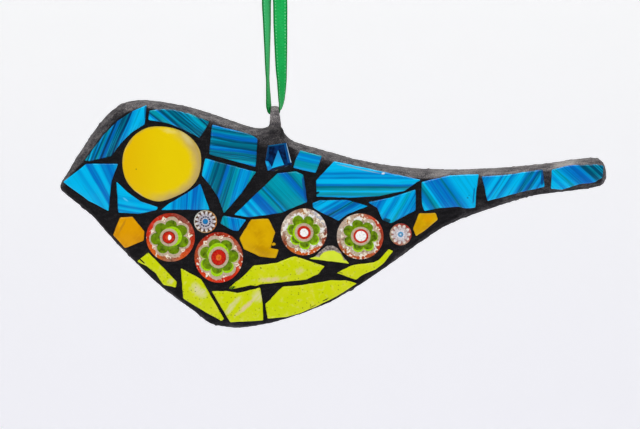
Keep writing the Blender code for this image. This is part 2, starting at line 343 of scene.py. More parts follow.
@cache
def streak_effect() -> Effect:
    """Streaks that run along X: where a point lies across them, their threads and ripples.

    Returns:
        The effect.
    """
    made = Effect(
        "glass_streaks",
        {"Vector": None, "Start": 0.0, "Width": 10.0, "Waver": 0.6, "Fan": 0.0, "Seed": 0.0},
        ("Across", "Pale", "Dark", "Ripple"),
    )
    along, _, up = made.parts(made.source["Vector"])
    level = made.times(up, -1.0)
    seed = made.source["Seed"]
    bend = made.cloud(made.joined(made.times(along, 0.10), seed, made.times(level, 0.30)), 1.0)
    bend = made.times(made.minus(bend, 0.5), made.source["Waver"])
    fanned = made.times(level, made.plus(1.0, made.times(along, made.source["Fan"])))
    line = made.plus(fanned, bend)
    across = made.calc("DIVIDE", made.minus(line, made.source["Start"]), made.source["Width"])
    made.feed(made.sink["Across"], across)
    fine = made.joined(made.times(along, 0.09), seed, made.times(line, 3.0))
    threads = made.cloud(fine, 1.0, 5.0)
    made.feed(made.sink["Pale"], made.rise(threads, 0.50, 0.66))
    made.feed(made.sink["Dark"], made.rise(threads, 0.50, 0.34))
    ripple = made.cloud(made.joined(made.times(along, 0.3), seed, made.times(level, 0.5)), 1.0)
    made.feed(made.sink["Ripple"], made.plus(ripple, made.times(threads, 0.12)))
    return made


@cache
def blot_effect() -> Effect:
    """A patch with a soft, ragged edge, 1 inside and 0 outside a radius of 1.

    Returns:
        The effect.
    """
    made = Effect(
        "blot",
        {"Vector": None, "Millimetres": None, "Ragged": 0.5, "Soft": 0.4, "Square": 2.0},
        ("Mask",),
    )
    x, _, z = made.parts(made.source["Vector"])
    square = made.source["Square"]
    far = made.calc("POWER", made.calc(
        "ADD",
        made.calc("POWER", made.calc("ABSOLUTE", x), square),
        made.calc("POWER", made.calc("ABSOLUTE", z), square),
    ), made.calc("DIVIDE", 1.0, square))
    rough = made.minus(made.cloud(made.source["Millimetres"], 1.1, 3.0), 0.5)
    far = made.plus(far, made.times(rough, made.source["Ragged"]))
    made.feed(made.sink["Mask"], made.rise(far, 1.0, made.minus(1.0, made.source["Soft"])))
    return made


@cache
def speck_effect() -> Effect:
    """Scattered specks on the face: in a share of the cells' middles, some fainter.

    Returns:
        The effect.
    """
    made = Effect("specks", {"Vector": None, "Scale": 1.0, "Share": 0.3, "Reach": 0.25}, ("Mask",))
    cells = made.add("ShaderNodeTexVoronoi", voronoi_dimensions="2D")
    x, _, z = made.parts(made.source["Vector"])
    made.feed(cells.inputs["Vector"], made.joined(x, z, 0.0))
    made.feed(cells.inputs["Scale"], made.source["Scale"])
    chosen, _, _ = made.parts(cells.outputs["Color"])
    inside = made.rise(cells.outputs["Distance"], made.source["Reach"],
                       made.times(made.source["Reach"], 0.5))
    picked = made.rise(chosen, made.source["Share"], 0.0)
    made.feed(made.sink["Mask"], made.times(inside, picked))
    return made


@cache
def sand_effect() -> Effect:
    """The grout's sand: pale and dark grains, slow clouds and the height of it all.

    Returns:
        The effect.
    """
    made = Effect("sandy_grout", {"Vector": None}, ("Pale", "Dark", "Cloud", "Height"))
    place = made.source["Vector"]
    grains = made.cloud(place, 6.2, 3.0)
    dabs = made.cloud(made.local(place, (0, 0, 0), 0, (2.0, 1.0, 0.8)), 1.1, 3.0)
    cloud = made.cloud(place, 0.22, 3.0)
    both = made.calc("MULTIPLY_ADD", dabs, 0.35, made.times(grains, 0.65))
    made.feed(made.sink["Pale"], made.rise(both, 0.48, 0.62))
    made.feed(made.sink["Dark"], made.rise(both, 0.49, 0.38))
    made.feed(made.sink["Cloud"], cloud)
    made.feed(made.sink["Height"], both)
    return made


class Surface(Graph):
    """A material in the making: its graph, its shader and where a point is."""

    def __init__(self, name: str, roughness: float, specular: float = 0.4,
                 coat: float = 0.0) -> None:
        """Make the material.

        Args:
            name: Its name.
            roughness: The shader's roughness.
            specular: How strongly it mirrors, 0.5 being plain glass.
            coat: The weight of a clear coat.
        """
        self.material = bpy.data.materials.new(name)
        self.material.use_nodes = True
        super().__init__(self.material.node_tree)
        self.shader = self.tree.nodes["Principled BSDF"].inputs
        self.shader["Roughness"].default_value = roughness
        self.shader["Specular IOR Level"].default_value = specular
        self.shader["Coat Weight"].default_value = coat
        self.shader["Coat Roughness"].default_value = 0.06
        self.place = self.add("ShaderNodeTexCoord").outputs["Object"]
        self.millimetres = self.measured(Vector())

    def measured(self, start: Vector, turn: float = 0.0) -> Socket:
        """Millimetres from a point, along a turned direction."""
        return self.local(self.place, start, turn, (MM, MM, MM))

    def near(self, centre: Place, reach: Place, turn: float = 0.0) -> Socket:
        """Coordinates from a place on the bird, in units of a reach.

        Args:
            centre: The place's pixel.
            reach: What counts as 1 across and up, in pixels.
            turn: The new X direction, in degrees up from +X.

        Returns:
            The coordinates.
        """
        across, up = reach
        return self.local(self.place, on_bird(centre), turn, (across * PIXEL, 1.0, up * PIXEL))

    def grain(self, scale: float, detail: float) -> Socket:
        """Noise from 0 to 1, with this many bumps in a millimetre."""
        return self.cloud(self.millimetres, scale, detail)

    def color(self, value: object) -> None:
        """Give the surface its colour."""
        self.feed(self.shader["Base Color"], value)

    def bump(self, height: Socket, depth: float, strength: float = 1.0) -> None:
        """Raise the surface by a height.

        Args:
            height: The height, from 0 to 1.
            depth: What 1 stands for, in metres.
            strength: How much of it shows.
        """
        node = self.add("ShaderNodeBump")
        node.inputs["Strength"].default_value = strength
        node.inputs["Distance"].default_value = depth
        self.feed(node.inputs["Height"], height)
        self.feed(self.shader["Normal"], node.outputs["Normal"])


# Finishes.


class Blue(Enum):
    """The blues in the streaked sheet glass."""

    CYAN = "#00B5E8"
    SKY = "#009BD8"
    AZURE = "#007EC6"
    ROYAL = "#0266BA"
    TEAL = "#0093A6"
    SEA = "#006C84"
    DEEP = "#004A68"
    NAVY = "#022E5C"


@dataclass(frozen=True)
class Blot:
    """A patch, chip or scratch of another colour on a tile, placed by its pixels; some are painted
    highlights and shadows.
    """

    centre: Place
    reach: Place
    color: str
    turn: float = 0.0
    ragged: float = 0.5
    soft: float = 0.4
    strength: float = 1.0
    square: float = 2.0

    def over(self, surface: Surface, below: object) -> Socket:
        """Lay the patch over a colour.

        Args:
            surface: The material it is on.
            below: The colour it covers.

        Returns:
            The colour with the patch.
        """
        mask = blot_effect().place_in(
            surface, Vector=surface.near(self.centre, self.reach, self.turn),
            Millimetres=surface.millimetres, Ragged=self.ragged, Soft=self.soft,
            Square=self.square)["Mask"]
        if self.strength < 1.0:
            mask = surface.times(mask, self.strength)
        return surface.blend(mask, below, self.color)


@dataclass(frozen=True)
class StreakedGlass:
    """Sheet glass with streaks of several blues, listed from the left, or from the top."""

    lean: float
    streaks: tuple[tuple[Blue, float], ...]
    waver: float = 0.6
    fan: float = 0.0
    blend: float = 0.42
    slot: str = "blue_glass"

    def dress(self, tile: "CutTile") -> Material:
        """The glass of one tile.

        Args:
            tile: The tile, whose corners say where the streaks start and end.

        Returns:
            The material.
        """
        middle = tile.middle()
        turn = math.radians(self.lean)
        level = [
            ((p.x - middle.x) * math.sin(turn) - (p.z - middle.z) * math.cos(turn)) / MM
            for p in tile.corners()
        ]
        start, width = min(level), max(level) - min(level)
        surface = Surface(f"{tile.node}_glass", 0.16, specular=0.14)
        here = surface.measured(middle, self.lean)
        found = streak_effect().place_in(
            surface, Vector=here, Start=start, Width=width, Waver=self.waver,
            Fan=self.fan, Seed=round(middle.x / MM, 1))
        base = surface.bands(found["Across"], self.stops())
        base = surface.blend(surface.times(found["Pale"], self.blend), base, Blue.CYAN.value)
        base = surface.blend(surface.times(found["Dark"], self.blend), base, Blue.DEEP.value)
        for blot in tile.blots:
            base = blot.over(surface, base)
        surface.color(base)
        surface.bump(found["Ripple"], 0.12 * MM, 0.5)
        return surface.material

    def stops(self) -> list[tuple[float, str]]:
        """The streaks as a ramp's stops, each held over most of its width.

        Returns:
            Where each stop is, and its colour.
        """
        total = sum(width for _, width in self.streaks)
        stops, reached = [], 0.0
        for blue, width in self.streaks:
            low, high = reached / total, (reached + width) / total
            stops += [(low + 0.22 * (high - low), blue.value),
                      (high - 0.22 * (high - low), blue.value)]
            reached += width
        return stops


@dataclass(frozen=True)
class CloudyGlass:
    """Sheet glass of one colour with soft clouds of two others, and small specks."""

    color: str
    warm: str
    pale: str
    clouds: float = 0.5
    speck: str | None = None
    speck_share: float = 0.3
    slot: str = "lime_glass"
    grain_lean: float = 48.0

    def dress(self, tile: "CutTile") -> Material:
        """The glass of one tile.

        Args:
            tile: The tile.

        Returns:
            The material.
        """
        surface = Surface(f"{tile.node}_glass", 0.2, specular=0.14)
        slow = surface.grain(0.22, 3.0)
        quick = surface.grain(0.9, 3.0)
        warm = surface.rise(slow, 0.42, 0.68, self.clouds)
        pale = surface.rise(quick, 0.52, 0.76, self.clouds * 0.6)
        base = surface.blend(warm, self.color, self.warm)
        base = surface.blend(pale, base, self.pale)
        for blot in tile.blots:
            base = blot.over(surface, base)
        drawn = surface.cloud(surface.local(
            surface.millimetres, (0, 0, 0), self.grain_lean, (2.6, 1.0, 0.42)), 1.0, 3.0)
        lines = surface.rise(drawn, 0.52, 0.66, self.clouds * 0.6)
        base = surface.blend(lines, base, self.color)
        if self.speck:
            specks = speck_effect().place_in(
                surface, Vector=surface.millimetres, Scale=1.15, Share=self.speck_share,
                Reach=0.19)["Mask"]
            base = surface.blend(surface.times(specks, 0.7), base, self.speck)
        surface.color(base)
        surface.bump(slow, 0.25 * MM, 0.5)
        return surface.material


# Making meshes.


def select_only(thing: Thing) -> None:
    """Make this the one selected and active object.

    Args:
        thing: The object.
    """
    bpy.ops.object.select_all(action="DESELECT")
    thing.select_set(True)
    bpy.context.view_layer.objects.active = thing


def new_thing(name: str, mesh: Mesh) -> Thing:
    """An object at the origin that holds this mesh.

    Args:
        name: The object's name.
        mesh: Its mesh, which is used up.

    Returns:
        The object, linked to the scene.
    """
    data = bpy.data.meshes.new(name)
    mesh.to_mesh(data)
    mesh.free()
    thing = bpy.data.objects.new(name, data)
    bpy.context.scene.collection.objects.link(thing)
    return thing


def tube(rings: Sequence[Sequence[tuple[float, float, float]]]) -> Mesh:
    """A closed tube.

    Args:
        rings: The rings it passes from end to end, each of as many points.

    Returns:
        The mesh.
    """
    mesh = bmesh.new()
    loops = [[mesh.verts.new(point) for point in ring] for ring in rings]
    for upper, lower in zip(loops, loops[1:]):
        for i in range(len(upper)):
            j = (i + 1) % len(upper)
            mesh.faces.new((upper[i], upper[j], lower[j], lower[i]))
    mesh.faces.new(loops[0])
    mesh.faces.new(loops[-1])
    bmesh.ops.recalc_face_normals(mesh, faces=mesh.faces)
    return mesh


def copy_of(node: str, name: str) -> Thing:
    """A copy of a CAD node with its loose triangles merged into one clean mesh.

    Args:
        node: The CAD node.
        name: The copy's name.

    Returns:
        The copy.
    """
    mesh = bmesh.new()
    mesh.from_mesh(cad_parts[node].data)
    bmesh.ops.remove_doubles(mesh, verts=mesh.verts, dist=WELD)
    return new_thing(name, mesh)


def apply_modifier(thing: Thing, kind: str, **settings: object) -> None:
    """Add a modifier to an object and apply it.

    Args:
        thing: The object.
        kind: The modifier's type.
        settings: Its properties.
    """
    select_only(thing)
    step = thing.modifiers.new(kind.lower(), kind)
    for name, value in settings.items():
        setattr(step, name, value)
    bpy.ops.object.modifier_apply(modifier=step.name)


def shade_smooth(thing: Thing, angle: float | None = None) -> None:
    """Shade an object smooth, or only across edges flatter than an angle.

    Args:
        thing: The object.
        angle: The sharpest smooth edge, in degrees, or None for all.
    """
    select_only(thing)
    if angle is None:
        bpy.ops.object.shade_smooth()
    else:
        bpy.ops.object.shade_smooth_by_angle(angle=math.radians(angle))


def back_rim(node: str) -> list[Vector]:
    """The outline of a tile, in order, from the flat back of its CAD node.

    Args:
        node: The tile's CAD node.

    Returns:
        Its corners, counterclockwise as the tiles are seen.
    """
    mesh = bmesh.new()
    mesh.from_mesh(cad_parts[node].data)
    bmesh.ops.remove_doubles(mesh, verts=mesh.verts, dist=WELD)
    back = max(v.co.y for v in mesh.verts)
    flat = [f for f in mesh.faces if all(v.co.y > back - 0.01 * MM for v in f.verts)]
    inner = set(flat)
    edges = [e for f in flat for e in f.edges if sum(g in inner for g in e.link_faces) == 1]
    rim = [edges[0].verts[0], edges[0].verts[1]]
    left = set(edges[1:])
    while left:
        step = next((e for e in left if rim[-1] in e.verts), None)
        if step is None:
            break
        left.discard(step)
        rim.append(step.other_vert(rim[-1]))
    points = [v.co.copy() for v in rim[:-1]]
    mesh.free()
    area = sum(a.x * b.z - b.x * a.z for a, b in zip(points, points[1:] + points[:1]))
    return points if area > 0 else points[::-1]


def finish_piece(piece: Thing, looks: Sequence[Material], slot: str,
                 *nodes: str) -> Thing:
    """Give a piece its materials, and let it stand for its CAD nodes.

    Args:
        piece: The piece, which rides on the ornament from now on.
        looks: Its materials.
        slot: Not used.
        nodes: The CAD nodes it replaces.

    Returns:
        The piece.
    """
    for material in looks:
        piece.data.materials.append(material)
    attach(piece, "root")
    if nodes:
        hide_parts(*nodes)
    log.info("%s: %d faces", piece.name, len(piece.data.polygons))
    return piece


# The ribbon.


RIBBON_ROUTE = [
    (-0.9 * MM, 26.6 * MM, 55), (-1.75 * MM, 24.6 * MM, 53), (-1.7 * MM, 19 * MM, 60),
    (-1.65 * MM, 14 * MM, 68), (-1.6 * MM, 9 * MM, 75), (-1.55 * MM, 6.5 * MM, 79),
    (-1.4 * MM, 3 * MM, 74), (-1.3 * MM, 0.9 * MM, 72), (-1.0 * MM, -0.2 * MM, 82),
    (0, -0.42 * MM, 90), (1.0 * MM, -0.2 * MM, 82), (1.35 * MM, 0.9 * MM, 76),
    (1.5 * MM, 3 * MM, 64), (1.55 * MM, 6.5 * MM, 51), (1.45 * MM, 9 * MM, 42),
    (1.35 * MM, 14 * MM, 31), (1.25 * MM, 19 * MM, 19), (1.15 * MM, 24.6 * MM, 12),
    (0.5 * MM, 26.6 * MM, 15),
]


def curve_through(points: Sequence[tuple], steps: int) -> list[tuple]:
    """A smooth open curve through points.

    Args:
        points: What it passes, each with any number of values.
        steps: Its steps from one point to the next.

    Returns:
        The curve's points.
    """
    count = len(points)
    found = []
    for i in range(count - 1):
        p, q, r, s = (points[min(max(i + k, 0), count - 1)] for k in (-1, 0, 1, 2))
        for t in (k / steps for k in range(steps)):
            found.append(tuple(
                b + t * (c - a + t * (2 * a - 5 * b + 4 * c - d + t * (3 * b - a - 3 * c + d))) / 2
                for a, b, c, d in zip(p, q, r, s)
            ))
    return found + [tuple(points[-1])]


@dataclass
class Ribbon:
    """The green satin ribbon: its loop, and the knot and cut ends above the view."""

    width: float = 3.2 * MM
    thickness: float = 0.26 * MM
    bow: float = 0.10 * MM
    steps: int = 8
    threads: int = 12
    knot_centre: tuple[float, float, float] = (-0.3 * MM, 0.0, 27.6 * MM)
    knot_size: tuple[float, float, float] = (4.4 * MM, 3.4 * MM, 3.2 * MM)
    knot_band: tuple[float, float] = (1.5 * MM, 0.7 * MM)
    knot_steps: int = 72
    knot_turn: float = 35.0
    tail_length: float = 6 * MM
    tail_spread: float = 24.0
    tail_steps: int = 12
    tail_turn: float = 20.0
    tip: float = 0.34
    tip_reach: float = 2.0 * MM
    hem: float = 0.38
    stitch_line: float = 0.335
    stitches: float = 4.6
    ribs: float = 22.0

    def build(self) -> Thing:
        """Returns:
            The ribbon's loop.
        """
        route = curve_through(RIBBON_ROUTE, self.steps)
        places = [Vector((x, 0, z)) for x, z, _ in route]
        tips = [self.tip * min(1.0, max(0.0, 1 - p.z / self.tip_reach)) for p in places]
        loop = new_thing("ribbon_loop", self.band(
            places, [turn for _, _, turn in route], (self.width, self.thickness), self.bow, tips))
        knot = self.knot()
        satin = self.satin()
        for piece in (loop, knot):
            shade_smooth(piece, 50)
            finish_piece(piece, [satin], "green_satin", "ribbon")
        return loop

    def band(self, places: Sequence[Vector], turns: Sequence[float], size: Place,
             bow: float = 0.0, tips: Sequence[float] = ()) -> Mesh:
        """A woven band along a route, with its own UV map.

        Args:
            places: The middle of the band.
            turns: How far its face is turned from the viewer's, in degrees.
            size: Its width and thickness.
            bow: How far its middle stands out.
            tips: The slope from its front edge up to its back one, where it isn't level.

        Returns:
            The closed band. U is across it from 0 to 1, V is along it in widths.
        """
        mesh = bmesh.new()
        wrap = mesh.loops.layers.uv.new("UVMap")
        width, thickness = size
        rings, run = [], [0.0]
        for i, place in enumerate(places):
            ahead, behind = places[min(i + 1, len(places) - 1)], places[max(i - 1, 0)]
            along = (ahead - behind).normalized()
            turn = math.radians(turns[i])
            wide = Vector((math.cos(turn), math.sin(turn), tips[i] if tips else 0))
            wide = (wide - along * wide.dot(along)).normalized()
            out = along.cross(wide)
            ring = []
            for side in (-1, 1):
                for k in range(self.threads + 1):
                    share = k / self.threads if side < 0 else 1 - k / self.threads
                    edge = abs(2 * share - 1)
                    lift = bow * (1 - edge ** 2)
                    half = thickness / 2 * (1 if edge < 0.99 else 0.55)
                    ring.append((mesh.verts.new(
                        place + wide * width * (share - 0.5) + out * (side * half + lift)), share))
            rings.append(ring)
            if i:
                run.append(run[-1] + (place - places[i - 1]).length / width)
        count = len(rings[0])
        for i in range(len(rings) - 1):
            for k in range(count):
                j = (k + 1) % count
                face = mesh.faces.new(
                    [rings[i][k][0], rings[i][j][0], rings[i + 1][j][0], rings[i + 1][k][0]])
                at = [(rings[i][k][1], run[i]), (rings[i][j][1], run[i]),
                      (rings[i + 1][j][1], run[i + 1]), (rings[i + 1][k][1], run[i + 1])]
                for corner, where in zip(face.loops, at):
                    corner[wrap].uv = where
        for ring, way in ((rings[0], -1), (rings[-1], 1)):
            mesh.faces.new([vertex for vertex, _ in ring][::way])
        bmesh.ops.recalc_face_normals(mesh, faces=mesh.faces)
        return mesh

    def knot(self) -> Thing:
        """The tight knot with its two cut ends.

        Returns:
            The knot, as one piece.
        """
        centre = Vector(self.knot_centre)
        band, thick = self.knot_band
        room = [s / 2 - band / 3 for s in self.knot_size]
        places = []
        for k in range(self.knot_steps + 1):
            t = 2 * math.pi * k / self.knot_steps
            trefoil = (
                (math.sin(t) + 2 * math.sin(2 * t)) / 3,
                -math.sin(3 * t),
                (math.cos(t) - 2 * math.cos(2 * t)) / 3,
            )
            places.append(centre + Vector([a * b for a, b in zip(trefoil, room)]))
        parts = [self.band(places, [self.knot_turn] * len(places), (band, thick))]
        parts += [self.cut_end(side) for side in (-1, 1)]
        whole = bmesh.new()
        for part in parts:
            data = bpy.data.meshes.new("part")
            part.to_mesh(data)
            part.free()
            whole.from_mesh(data)
            bpy.data.meshes.remove(data)
        return new_thing("ribbon_knot", whole)

    def cut_end(self, side: int) -> Mesh:
        """One cut end of the ribbon, above the knot.

        Args:
            side: -1 for the left one, 1 for the right one.

        Returns:
            The closed band.
        """
        places = []
        for k in range(self.tail_steps + 1):
            share = k / self.tail_steps
            lean = math.radians(self.tail_spread) * (0.4 + 0.6 * share)
            reach = self.tail_length * share
            places.append(Vector(self.knot_centre) + Vector((
                side * (self.knot_size[0] / 5 + reach * math.sin(lean)),
                side * self.knot_size[1] / 6,
                self.knot_size[2] / 4 + reach * math.cos(lean),
            )))
        turns = [side * self.tail_turn] * len(places)
        return self.band(places, turns, (self.width, self.thickness), self.bow)

    def satin(self) -> Material:
        """Woven green satin with a painted sheen up its left strand, and stitches inside each edge.

        Returns:
            The material.
        """
        surface = Surface("green_satin", 0.5, specular=0.08)
        u, v, _ = surface.parts(surface.add("ShaderNodeUVMap", uv_map="UVMap").outputs[0])
        threads = surface.cloud(surface.joined(
            surface.times(u, 7.0), surface.times(v, 16.0), 0.0), 1.0, 4.0)
        shade = surface.cloud(surface.joined(
            surface.times(u, 1.2), surface.times(v, 0.7), 4.0), 1.0, 2.0)
        base = surface.blend(shade, "#12A446", "#22C062")
        dark = surface.rise(threads, 0.42, 0.66, 0.55)
        base = surface.blend(dark, base, "#0B8A38")
        # A painted sheen up the left strand.
        left = surface.rise(v, 7.0, 3.0, 0.4)
        base = surface.blend(left, base, "#5CD890")
        edge = surface.calc("ABSOLUTE", surface.minus(u, 0.5))
        off = surface.calc("ABSOLUTE", surface.minus(edge, self.stitch_line))
        row = surface.rise(off, 0.05, 0.02)
        beat = surface.calc("SINE", surface.times(v, 2 * math.pi * self.stitches))
        stitches = surface.times(row, surface.rise(beat, -0.3, 0.5))
        pale_share = surface.rise(surface.grain(1.6, 3.0), 0.3, 0.5)
        hem = surface.rise(edge, self.hem, self.hem + 0.06, 0.9)
        base = surface.blend(hem, base, "#066C2C")
        base = surface.blend(surface.times(surface.times(stitches, pale_share), 0.6), base, "#84E0A6")
        surface.color(base)
        ribs = surface.calc("SINE", surface.times(v, 2 * math.pi * self.ribs))
        height = surface.plus(surface.times(ribs, 0.25), stitches)
        surface.bump(height, 0.03 * MM, 0.7)
        return surface.material


# The grout.


# The attribute that holds how pale the grout is: dusty grey with painted light.
DUST_AND_LIGHT = "dust"
# How pale the grout's slopes are along the bird, by pixel from the left: dusty grey with painted
# light from above.
DUST_AND_LIGHT_ALONG = (
    (60, 0.56), (90, 0.6), (105, 0.66), (120, 0.6), (135, 0.62), (170, 0.9), (215, 0.95),
    (235, 1.0), (252, 0.75), (264, 0.48), (284, 0.48), (298, 0.85), (340, 0.92), (450, 1.12),
    (520, 1.1), (565, 1.25), (582, 1.25), (600, 0.8),
)


@dataclass(frozen=True)
class SandyGrout:
    """Black grout with fine sand, grey where the piece's dust attribute says: dusty grey with
    painted light from above.
    """

    name: str
    black: str = "#151416"
    grain: str = "#292729"
    # The grey of dusty grout with painted light on it.
    dust: str = "#535053"
    pale: str = "#888381"
    bright: str = "#A9A4A0"

    def dress(self) -> Material:
        """The grout.

        Returns:
            The material.
        """
        surface = Surface(self.name, 0.9, specular=0.08)
        sand = sand_effect().place_in(surface, Vector=surface.millimetres)
        black = surface.blend(sand["Pale"], self.black, self.grain)
        grey = surface.blend(sand["Pale"], self.dust, self.pale)
        cloud = surface.times(surface.minus(sand["Cloud"], 0.5), 0.9)
        # How pale the grout is here, from dusty grey and painted light.
        pale_share = surface.add("ShaderNodeAttribute", attribute_name=DUST_AND_LIGHT).outputs["Fac"]
        mask = surface.rise(surface.plus(pale_share, cloud), 0.15, 0.75)
        light = surface.times(surface.rise(pale_share, 0.9, 1.4), surface.rise(sand["Cloud"], 0.35, 0.65))
        grey = surface.blend(light, grey, self.bright)
        grey = surface.blend(surface.times(sand["Dark"], 0.75), grey, self.grain)
        surface.color(surface.blend(mask, black, grey))
        surface.bump(sand["Height"], 0.24 * MM, 0.9)
        return surface.material


def add_dust_and_light(thing: Thing, amounts: Sequence[float]) -> None:
    """Store how pale each vertex is, from dusty grey and painted light.

    Args:
        thing: The piece.
        amounts: The paleness of each vertex, 1 for dusty grey with painted light and more for very
            pale.
    """
    layer = thing.data.attributes.new(DUST_AND_LIGHT, "FLOAT", "POINT")
    layer.data.foreach_set("value", np.asarray(amounts, dtype=np.float32))


@dataclass
class GroutBody:
    """The body of grout: a rough skin, hollowed between the tiles and closed up to them."""

    voxel: float = 0.4 * MM
    lap: float = 0.3 * MM
    hollow: float = 0.28 * MM
    hollow_reach: float = 0.7 * MM
    front: float = 0.8 * MM
    least_depth: float = 0.05 * MM
    rough: float = 0.10 * MM
    grains: tuple[float, float, float] = (1.1 * MM, 3.5 * MM, 1.3 * MM)
    burr: float = 0.28 * MM
    burr_steep: float = 2.2
    burr_least: float = 0.42
    foot_sides: int = 24
    foot_levels: int = 8
    foot_reach: Place = (1.15 * MM, 2.7 * MM)
    foot_heights: Place = (-2.3 * MM, -6.2 * MM)
    foot_depth: float = 1.55 * MM
    foot_flat: Place = (0.75, 0.6)
    foot_flare: float = 2.2
    leg_offset: float = 2.4 * MM
    # Where faces that turn right start to pale, round the tail's end.
    tail_pale_start: float = 70 * MM
    # How pale the slopes that face up and the front slope below the upper edge become: dusty grey
    # with painted light from above.
    slope_dust_and_light: float = 0.62
    dust_and_light_depth: float = 5.5 * MM
    up_dust_and_light: float = 1.9
    foot_centre: Place = (275.5, 127)
    foot_grey_reach: float = 6.6 * MM
    foot_grey: float = 0.5
    film: float = 0.31
    film_along: Place = (34 * MM, 16 * MM)
    neck: Place = (-4.8 * MM, -3.0 * MM)
    neck_reach: float = 2.2 * MM
    neck_grey: float = 0.78
    # A painted highlight along the lower edge, and how far up it reaches.
    hem_highlight: float = 0.36
    hem_highlight_reach: float = 3.0 * MM

    def build(self) -> Thing:
        """Make the grout.

        Returns:
            The finished piece.
        """
        body = copy_of("grouted_body", "grout_skin")
        plugs = [self.plug(node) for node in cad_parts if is_tile(node)]
        plugs += [self.foot(side) for side in (-1, 1)]
        bpy.ops.object.select_all(action="DESELECT")
        for thing in [body, *plugs]:
            thing.select_set(True)
        bpy.context.view_layer.objects.active = body
        bpy.ops.object.join()
        apply_modifier(body, "REMESH", mode="VOXEL", voxel_size=self.voxel)
        apply_modifier(body, "SMOOTH", factor=0.5, iterations=3)
        self.gather_dust_and_light(body)
        self.roughen(body)
        shade_smooth(body)
        body.data.materials.clear()
        grout = SandyGrout("black_grout").dress()
        return finish_piece(body, [grout], "black_grout", "grouted_body")

    def plug(self, node: str) -> Thing:
        """Grout that fills the room round one tile, up to the grout's face.

        Args:
            node: The tile's CAD node.

        Returns:
            The plug.
        """
        rim = back_rim(node)
        back = max(p.y for p in rim) + self.lap
        grown = []
        for i, point in enumerate(rim):
            before = (point - rim[i - 1]).normalized()
            after = (rim[(i + 1) % len(rim)] - point).normalized()
            out = Vector((before.z + after.z, 0, -before.x - after.x)).normalized()
            grown.append(point + out * self.lap)
        rings = [[(p.x, y, p.z) for p in grown] for y in (GROUT_FACE, back)]
        return new_thing(f"plug_{node}", tube(rings))

    def foot(self, side: int) -> Thing:
        """Grout that is heaped round one foot of the hanging loop.

        Args:
            side: -1 for the front leg, 1 for the back one.

        Returns:
            The heap, which flares from the leg down into the body.
        """
        (slim, wide), (top, low) = self.foot_reach, self.foot_heights
        slim_flat, wide_flat = slim * self.foot_flat[0], wide * self.foot_flat[1]
        angles = [2 * math.pi * i / self.foot_sides for i in range(self.foot_sides)]
        rings = []
        for k in range(self.foot_levels + 1):
            share = k / self.foot_levels
            across = slim + (wide - slim) * share ** self.foot_flare
            deep = slim_flat + (wide_flat - slim_flat) * share ** self.foot_flare
            deep = min(self.foot_depth, deep)
            rings.append([(across * math.cos(angle), side * self.leg_offset + deep * math.sin(angle),
                           top + (low - top) * share) for angle in angles])
        return new_thing(f"foot_{side + 2}", tube(rings))

    def gather_dust_and_light(self, body: Thing) -> None:
        """Note how pale each vertex is: dusty grey with painted light from above on the slopes that
        face up, a painted highlight on the lower edge, and paler faces round the tail's end.

        Args:
            body: The grout before it is roughened.
        """
        tops: dict[int, float] = {}
        lows: dict[int, float] = {}
        for vertex in body.data.vertices:
            column = round(vertex.co.x / MM)
            tops[column] = max(tops.get(column, -1.0), vertex.co.z)
            lows[column] = min(lows.get(column, 1.0), vertex.co.z)
        along = [on_bird((x, 0)).x for x, _ in DUST_AND_LIGHT_ALONG]
        shares = [share for _, share in DUST_AND_LIGHT_ALONG]
        amounts = []
        for vertex in body.data.vertices:
            column = round(vertex.co.x / MM)
            here = float(np.interp(vertex.co.x, along, shares))
            depth = tops[column] - vertex.co.z
            # Each vertex takes the palest of: the rear film and the painted highlight on the lower
            # edge; dusty grey with painted light from above on slopes that face up; paler faces
            # turning right at the tail; the front slope, the loop's foot and the neck.
            amounts.append(max(
                self.film_at(vertex.co, vertex.co.z - lows[column]),
                min(1.0, vertex.normal.z * self.up_dust_and_light) * here,
                max(0.0, vertex.normal.x) if vertex.co.x > self.tail_pale_start else 0.0,
                self.dust_and_light_front(vertex.co, depth, here)))
        add_dust_and_light(body, amounts)

    def dust_and_light_front(self, place: Vector, depth: float, here: float) -> float:
        """How pale the front slope below the upper edge is, dusty grey with painted light from
        above, and how grey the grout is round the loop's foot and on the neck below it.

        Args:
            place: The place.
            depth: How far it lies below the body's upper edge.
            here: How pale the bird is there along its length, from dusty grey and painted light.

        Returns:
            The amount.
        """
        # The front slope below the upper edge: dusty grey with painted light from above.
        slope = self.slope_dust_and_light * max(0.0, 1 - depth / self.dust_and_light_depth) if place.y < 0 else 0.0
        away = (Vector((place.x, 0, place.z)) - on_bird(self.foot_centre, 0)).length
        foot = self.foot_grey * math.sqrt(max(0.0, 1 - away / self.foot_grey_reach))
        amount = max(slope * here, foot)
        if abs(place.x) < self.neck_reach:
            low, high = self.neck
            amount = max(amount, self.neck_grey * min(1.0, (place.z - low) / (high - low)))
        return amount

    def film_at(self, place: Vector, height: float) -> float:
        """The thin film on the rear half, and a painted highlight along the lower edge.

        Args:
            place: The place.
            height: How far it lies above the body's lower edge.

        Returns:
            The amount.
        """
        start, length = self.film_along
        rear = self.film * min(1.0, max(0.0, (place.x - start) / length))
        return max(rear, self.hem_highlight * (1 - height / self.hem_highlight_reach))

